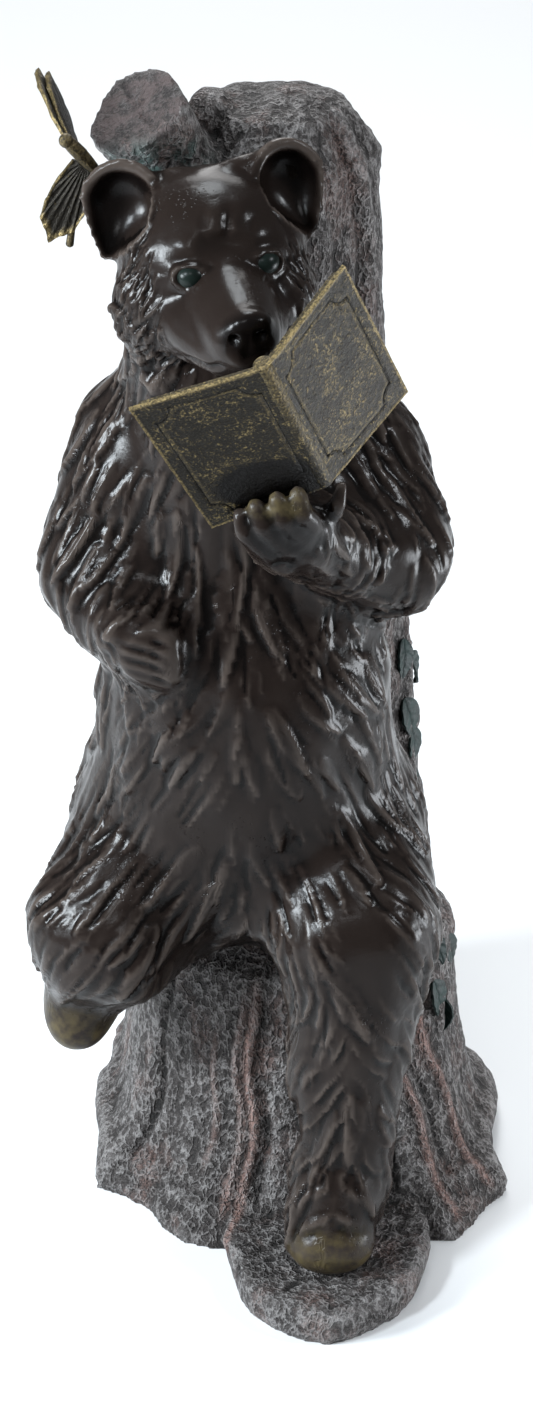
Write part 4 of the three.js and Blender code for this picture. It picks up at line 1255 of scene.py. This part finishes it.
def leaf_pieces(sizes):
    """Copies of the leaf along the vine."""
    blade = leaf_shape(sizes)
    leaves = []
    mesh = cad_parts["tree_stump"].data
    corners = [vertex.co for vertex in mesh.vertices]
    stump = BVHTree.FromPolygons(corners, [face.vertices for face in mesh.polygons])
    for height, aside, turn, size in LEAVES:
        place, outward = vine_spot(stump, height, aside)
        leaf = blade.copy()
        leaf.data = blade.data.copy()
        leaf.name = "vine_leaf"
        bpy.context.scene.collection.objects.link(leaf)
        up = (Vector((0, 0, 1)) - outward.z * outward).normalized()
        facing = Matrix((up.cross(outward), up, outward)).transposed()
        facing = facing @ Matrix.Rotation(math.radians(turn), 3, "Z")
        leaf.data.transform(Matrix.Translation(place * MM) @ facing.to_4x4() @ Matrix.Scale(size, 4))
        leaves.append(smooth_shaded(leaf, 50))
    bpy.data.objects.remove(blade)
    return leaves


# Book


def book_matrix():
    """The book's place: along its own x the covers open, and z runs up its spine."""
    turn = Matrix.Identity(3)
    for degrees, axis in zip(BOOK_TURNS, "XYZ"):
        turn = turn @ Matrix.Rotation(math.radians(degrees), 3, axis)
    return Matrix.Translation(BOOK_CENTRE) @ turn.to_4x4()


COVER_OPENING = math.radians(22)
COVER_LEANS = {-1: math.radians(3.6), 1: math.radians(-0.9)}
COVER_FLARE = 1.06
PAGE_LAYERS = 3
PAGE_STEP = 1.15
SPINE_RADIUS = 5.6
SPINE_FORWARD = 3.08


def half_height(height, reach):
    """Half the height of a cover, which flares a little away from the spine."""
    return 0.5 * height * (1 + (COVER_FLARE - 1) * reach)


def cover_points(hand, width, height, reach, rise, depth):
    """Places on a cover: reach and rise are shares of its width and half height, depth goes inwards."""
    outward = np.array((hand * math.cos(COVER_OPENING), math.sin(COVER_OPENING), 0))
    inward = np.array((-hand * math.sin(COVER_OPENING), math.cos(COVER_OPENING), 0))
    lean = COVER_LEANS[hand]
    edge = np.array((0, 0, math.cos(lean))) + outward * math.sin(lean)
    up = np.array((0, 0, 1.0)) + reach[:, None] * (edge - np.array((0, 0, 1.0)))
    sideways = outward * (reach * width)[:, None]
    return sideways + up * (rise * half_height(height, reach))[:, None] + inward * depth[:, None]


def border_relief(across, up, inset):
    """Signed distance from the engraved border, whose corners are notched by a hollow curve."""
    corner = np.hypot(across[0] - across[1], up[0] - up[1])
    frame_gap = np.maximum(across[0] - across[1], up[0] - up[1])
    return np.maximum(frame_gap, 1.25 * inset - corner)


def cover_piece(hand, sizes):
    """One cover with an engraved border on its outer side."""
    width = sizes.cover_width / MM
    height = sizes.cover_height / MM
    inset = sizes.border_inset / MM
    thickness = sizes.cover_thickness / MM
    cover = added(bpy.ops.mesh.primitive_grid_add, x_subdivisions=80, y_subdivisions=112, size=2 * MM)
    flat = points_of(cover)
    reach = 0.5 + 0.5 * flat[:, 0]
    rise = flat[:, 1]
    half = half_height(height, reach)
    to_side = np.abs(reach - 0.5) * width
    border = border_relief((to_side, 0.5 * width - inset), (np.abs(rise) * half, half - inset), inset)
    groove = np.exp(-((border / 1.0) ** 2))
    rim = eased(np.maximum(to_side - 0.5 * width, np.abs(rise) * half - half), -1.7, -0.5)
    depth = 1.2 * groove + 0.25 * eased(-border, 0.5, 2.5) - 0.35 * rim * (reach > 0.1)
    depth = depth + 0.35 + 0.25 * roughness(flat * np.array((width / 2, height / 2, 1)), 9, shift=hand * 3.0)
    places = cover_points(hand, width, height, reach, rise, depth)
    place_points(cover, places)
    # Edge numbers: the rim is bright from wear, the thin line beside the border is a painted highlight and
    # the groove is the black engraving
    store(cover, "edge", np.clip(rim + 0.6 * np.exp(-(((border + 1.8) / 0.8) ** 2)) - 1.4 * groove, -1, 1))
    if hand > 0:
        cover.data.flip_normals()
    modified(cover, "SOLIDIFY", thickness=(thickness - 0.35) * MM, offset=-1)
    return cover


def page_layers(hand, sizes):
    """The pages inside a cover, in thin blocks."""
    width = sizes.cover_width / MM
    height = sizes.cover_height / MM
    layers = []
    for layer in range(PAGE_LAYERS):
        block = added(bpy.ops.mesh.primitive_cube_add, size=2 * MM)
        corners = points_of(block)
        low = sizes.cover_thickness / MM - 0.4 + PAGE_STEP * layer
        reach = np.where(corners[:, 0] > 0, 0.955 - 0.008 * layer, 0.02)
        rise = np.sign(corners[:, 1]) * (0.94 - 0.006 * layer)
        depth = np.where(corners[:, 2] > 0, low + 1.0, low)
        place_points(block, cover_points(hand, width, height, reach, rise, depth))
        modified(block, "BEVEL", width=0.3 * MM, segments=2)
        store(block, "edge", 0.35)
        layers.append(block)
    return layers


def spine_piece(sizes):
    """The rounded spine, which stands out a little between the covers."""
    cylinder = bpy.ops.mesh.primitive_cylinder_add
    spine = added(cylinder, vertices=48, radius=SPINE_RADIUS * MM, depth=sizes.cover_height)
    modified(spine, "BEVEL", width=0.8 * MM, segments=3, limit_method="ANGLE")
    places = points_of(spine)
    places[:, 1] += SPINE_FORWARD
    place_points(spine, places)
    store(spine, "edge", 0.55)
    return spine


def book_piece(sizes):
    """The open book."""
    parts = [cover_piece(-1, sizes), cover_piece(1, sizes), spine_piece(sizes)]
    for hand in (-1, 1):
        parts.extend(page_layers(hand, sizes))
    book = joined(parts, "open_book")
    book.data.transform(Matrix.Scale(MM, 4) @ book_matrix() @ Matrix.Scale(1 / MM, 4))
    edge = book.data.attributes["edge"].data
    values = np.zeros(len(edge))
    edge.foreach_get("value", values)
    # Black patina together with a painted shadow on the cover just above the fingers that hold the book
    patina_and_painted_shadow = nearness(points_of(book), (6, -192, 582), (44, 40, 27))
    edge.foreach_set("value", values - 2.6 * patina_and_painted_shadow)
    edited(book, bpy.ops.mesh.normals_make_consistent, inside=False)
    return smooth_shaded(book, 35)


# Butterfly


# Wings: the root, the ways it points and spreads, its length and width, its scallops and its veins
WINGS = (
    ((-112, -38, 727), (-0.34, 0.82, 0.48), (0.30, 0.86, -0.4), (62, 42), 2, 6),
    ((-111, -37, 727), (-0.27, 0.84, 0.48), (0.22, 0.88, -0.4), (58, 40), 2, 6),
    ((-104, -32, 717), (-0.42, 0.05, -0.9), (0.9, 0, -0.42), (58, 52), 4, 9),
)


def wing(root, way, chord, size, scallops, veins, thickness):
    """A wing: a fan of veins with a scalloped edge."""
    length, width = size
    sheet = added(bpy.ops.mesh.primitive_grid_add, x_subdivisions=22, y_subdivisions=72, size=2 * MM)
    flat = points_of(sheet)
    out = np.clip(0.5 + 0.5 * flat[:, 0], 0.02, 1)
    turn = 0.5 + 0.5 * flat[:, 1]
    spread = np.sin(np.pi * np.clip(turn, 0.01, 0.99)) ** 0.75
    notch = 1 - 0.09 * np.abs(np.sin(np.pi * scallops * turn)) * np.sin(np.pi * turn)
    first = Vector(way).normalized()
    second = Vector(chord)
    second = (second - second.dot(first) * first).normalized()
    third = np.array(first.cross(second))
    ahead = length * spread * notch * out
    aside = (turn - 0.5) * width * (0.25 + 0.75 * spread) * out**0.8
    ribs = np.abs(np.sin(np.pi * veins * turn)) ** 6
    rim = eased(out, 0.86, 0.98)
    lift = 0.7 * ribs * eased(out, 0.1, 0.3) + 0.6 * rim + 1.4 * np.sin(np.pi * turn) * out**2
    places = np.array(root) + ahead[:, None] * np.array(first) + aside[:, None] * np.array(second)
    places = places + lift[:, None] * third
    place_points(sheet, places)
    store(sheet, "edge", np.clip(0.9 * rim + 0.1 * ribs, 0, 1))
    return modified(sheet, "SOLIDIFY", thickness=thickness, offset=0)


def butterfly_piece(sizes):
    """The butterfly on the stub."""
    parts = [wing(*numbers, sizes.wing_thickness) for numbers in WINGS]
    body = [
        bar((-101, -36, 714), (-108, -40, 724), 3.4, 4.6),
        bar((-108, -40, 724), (-114, -43, 732), 4.6, 4.0),
        egg((-115.5, -43.7, 733.5), (4.4, 4.4, 4.4), segments=20),
        bar((-114, -30, 676), (-116, -30, 663), 1.8, 2.6),
    ]
    for part in body:
        store(part, "edge", 0.5)
    butterfly = joined(parts + body, "bronze_butterfly")
    edited(butterfly, bpy.ops.mesh.normals_make_consistent, inside=False)
    return smooth_shaded(butterfly, 40)


# Stage


# Lamps: a name, a place in metres, the side of its square, its power and its tint
LAMPS = (
    ("key_light", (-1.6, -1.3, 2.0), 0.34, 54, (0.84, 0.93, 1.0)),
    ("side_light", (1.7, -0.6, 1.9), 0.3, 24, (0.90, 0.95, 1.0)),
    ("top_light", (-0.1, 0.8, 2.2), 0.6, 20, (0.90, 0.96, 1.0)),
    ("front_light", (-0.5, -2.2, 3.0), 0.6, 14, (0.95, 0.97, 1.0)),
    ("left_light", (-1.8, -0.7, 1.0), 0.52, 80, (0.86, 0.94, 1.0)),
    ("right_light", (0.98, -0.07, 0.18), 0.34, 8, (0.90, 0.95, 1.0)),
    ("floor_light", (0, 3.2, 2.6), 2.0, 80, (1.0, 1.0, 1.0)),
)
LAMP_TARGET = Vector((0, -0.05, 0.4))
SURROUND_COLOUR = (0.9, 0.95, 1.0, 1)
SURROUND_STRENGTH = 0.2
FLOOR_SIDE = 14


def add_floor(colours):
    """The pale floor."""
    floor = added(bpy.ops.mesh.primitive_plane_add, size=FLOOR_SIDE)
    floor.name = "pale_floor"
    paint = Finish("pale_floor")
    floor.data.materials.append(paint.feed(base_color=(*colours.floor, 1), roughness=0.9))


def add_lights():
    """The soft square lamps and a faint surround."""
    for name, place, size, power, tint in LAMPS:
        lamp = bpy.data.lights.new(name, "AREA")
        lamp.shape = "SQUARE"
        lamp.size = size
        lamp.energy = power
        lamp.color = tint
        holder = bpy.data.objects.new(name, lamp)
        holder.location = place
        holder.rotation_euler = (LAMP_TARGET - Vector(place)).to_track_quat("-Z", "Y").to_euler()
        bpy.context.scene.collection.objects.link(holder)
    world = bpy.data.worlds.new("soft_surround")
    world.use_nodes = True
    background = world.node_tree.nodes["Background"]
    background.inputs["Color"].default_value = SURROUND_COLOUR
    background.inputs["Strength"].default_value = SURROUND_STRENGTH
    bpy.context.scene.world = world
    bpy.context.scene.view_settings.view_transform = "Standard"


def add_camera():
    """The camera at the photo's viewing angle."""
    camera = bpy.data.cameras.new("photo_camera")
    camera.lens = CAMERA_LENS
    camera.sensor_width = 36
    camera.sensor_fit = "AUTO"
    holder = bpy.data.objects.new("photo_camera", camera)
    holder.location = CAMERA_PLACE
    holder.rotation_euler = (math.radians(CAMERA_TILT), 0, 0)
    bpy.context.scene.collection.objects.link(holder)
    bpy.context.scene.camera = holder


# Operators, one for each piece


class STATUE_OT_stage(bpy.types.Operator):
    """Adds the floor, the lights and the camera"""

    bl_idname = "statue.stage"
    bl_label = "Stage"

    def execute(self, context):
        add_floor(context.scene.statue_colours)
        add_lights()
        add_camera()
        return {"FINISHED"}


class STATUE_OT_stump(bpy.types.Operator):
    """Adds the tree stump"""

    bl_idname = "statue.stump"
    bl_label = "Tree Stump"

    def execute(self, context):
        piece = stump_piece(context.scene.statue_sizes)
        finished(piece, bark_finish(context.scene.statue_colours), "tree_stump")
        return {"FINISHED"}


class STATUE_OT_bear(bpy.types.Operator):
    """Adds the bear"""

    bl_idname = "statue.bear"
    bl_label = "Bear"

    def execute(self, context):
        piece = bear_piece(context.scene.statue_sizes)
        finished(piece, bronze_finish(context.scene.statue_colours), "bear")
        return {"FINISHED"}


class STATUE_OT_eyes(bpy.types.Operator):
    """Adds the bear's glossy eyes"""

    bl_idname = "statue.eyes"
    bl_label = "Eyes"

    def execute(self, context):
        enamel = eye_finish()
        for piece in eye_pieces(context.scene.statue_sizes):
            finished(piece, enamel)
        return {"FINISHED"}


class STATUE_OT_leaves(bpy.types.Operator):
    """Adds the leaves of the vine"""

    bl_idname = "statue.leaves"
    bl_label = "Vine Leaves"

    def execute(self, context):
        green = leaf_finish(context.scene.statue_colours)
        for piece in leaf_pieces(context.scene.statue_sizes):
            finished(piece, green)
        return {"FINISHED"}


class STATUE_OT_book(bpy.types.Operator):
    """Adds the open book"""

    bl_idname = "statue.book"
    bl_label = "Book"

    def execute(self, context):
        piece = book_piece(context.scene.statue_sizes)
        brass = brass_finish("antique_brass", context.scene.statue_colours, BOOK_GOLD_FROM)
        finished(piece, brass, "book")
        return {"FINISHED"}


class STATUE_OT_butterfly(bpy.types.Operator):
    """Adds the butterfly"""

    bl_idname = "statue.butterfly"
    bl_label = "Butterfly"

    def execute(self, context):
        piece = butterfly_piece(context.scene.statue_sizes)
        brass = brass_finish("butterfly_brass", context.scene.statue_colours, BUTTERFLY_GOLD_FROM)
        finished(piece, brass, "butterfly")
        return {"FINISHED"}


class STATUE_PT_panel(bpy.types.Panel):
    """Lists the pieces of the statue with their sizes and colours"""

    bl_idname = "STATUE_PT_panel"
    bl_label = "Garden Statue"
    bl_space_type = "VIEW_3D"
    bl_region_type = "UI"
    bl_category = "Statue"

    def draw(self, context):
        for step in STEPS:
            self.layout.operator(step.bl_idname)
        for group in (context.scene.statue_sizes, context.scene.statue_colours):
            box = self.layout.box()
            for name in group.bl_rna.properties.keys():
                if name not in {"rna_type", "name"}:
                    box.prop(group, name)


STEPS = (
    STATUE_OT_stump,
    STATUE_OT_leaves,
    STATUE_OT_bear,
    STATUE_OT_eyes,
    STATUE_OT_book,
    STATUE_OT_butterfly,
    STATUE_OT_stage,
)
CLASSES = (StatueSizes, StatueColours, *STEPS, STATUE_PT_panel)


def register():
    """Makes the sizes, colours, operators and panel known."""
    for kind in CLASSES:
        bpy.utils.register_class(kind)
    bpy.types.Scene.statue_sizes = bpy.props.PointerProperty(type=StatueSizes)
    bpy.types.Scene.statue_colours = bpy.props.PointerProperty(type=StatueColours)


def unregister():
    """Takes them away again."""
    del bpy.types.Scene.statue_sizes
    del bpy.types.Scene.statue_colours
    for kind in reversed(CLASSES):
        bpy.utils.unregister_class(kind)


def main():
    """Builds the statue on its stage."""
    register()
    bpy.ops.statue.stump()
    bpy.ops.statue.leaves()
    bpy.ops.statue.bear()
    bpy.ops.statue.eyes()
    bpy.ops.statue.book()
    bpy.ops.statue.butterfly()
    bpy.ops.statue.stage()


if __name__ == "__main__":
    main()
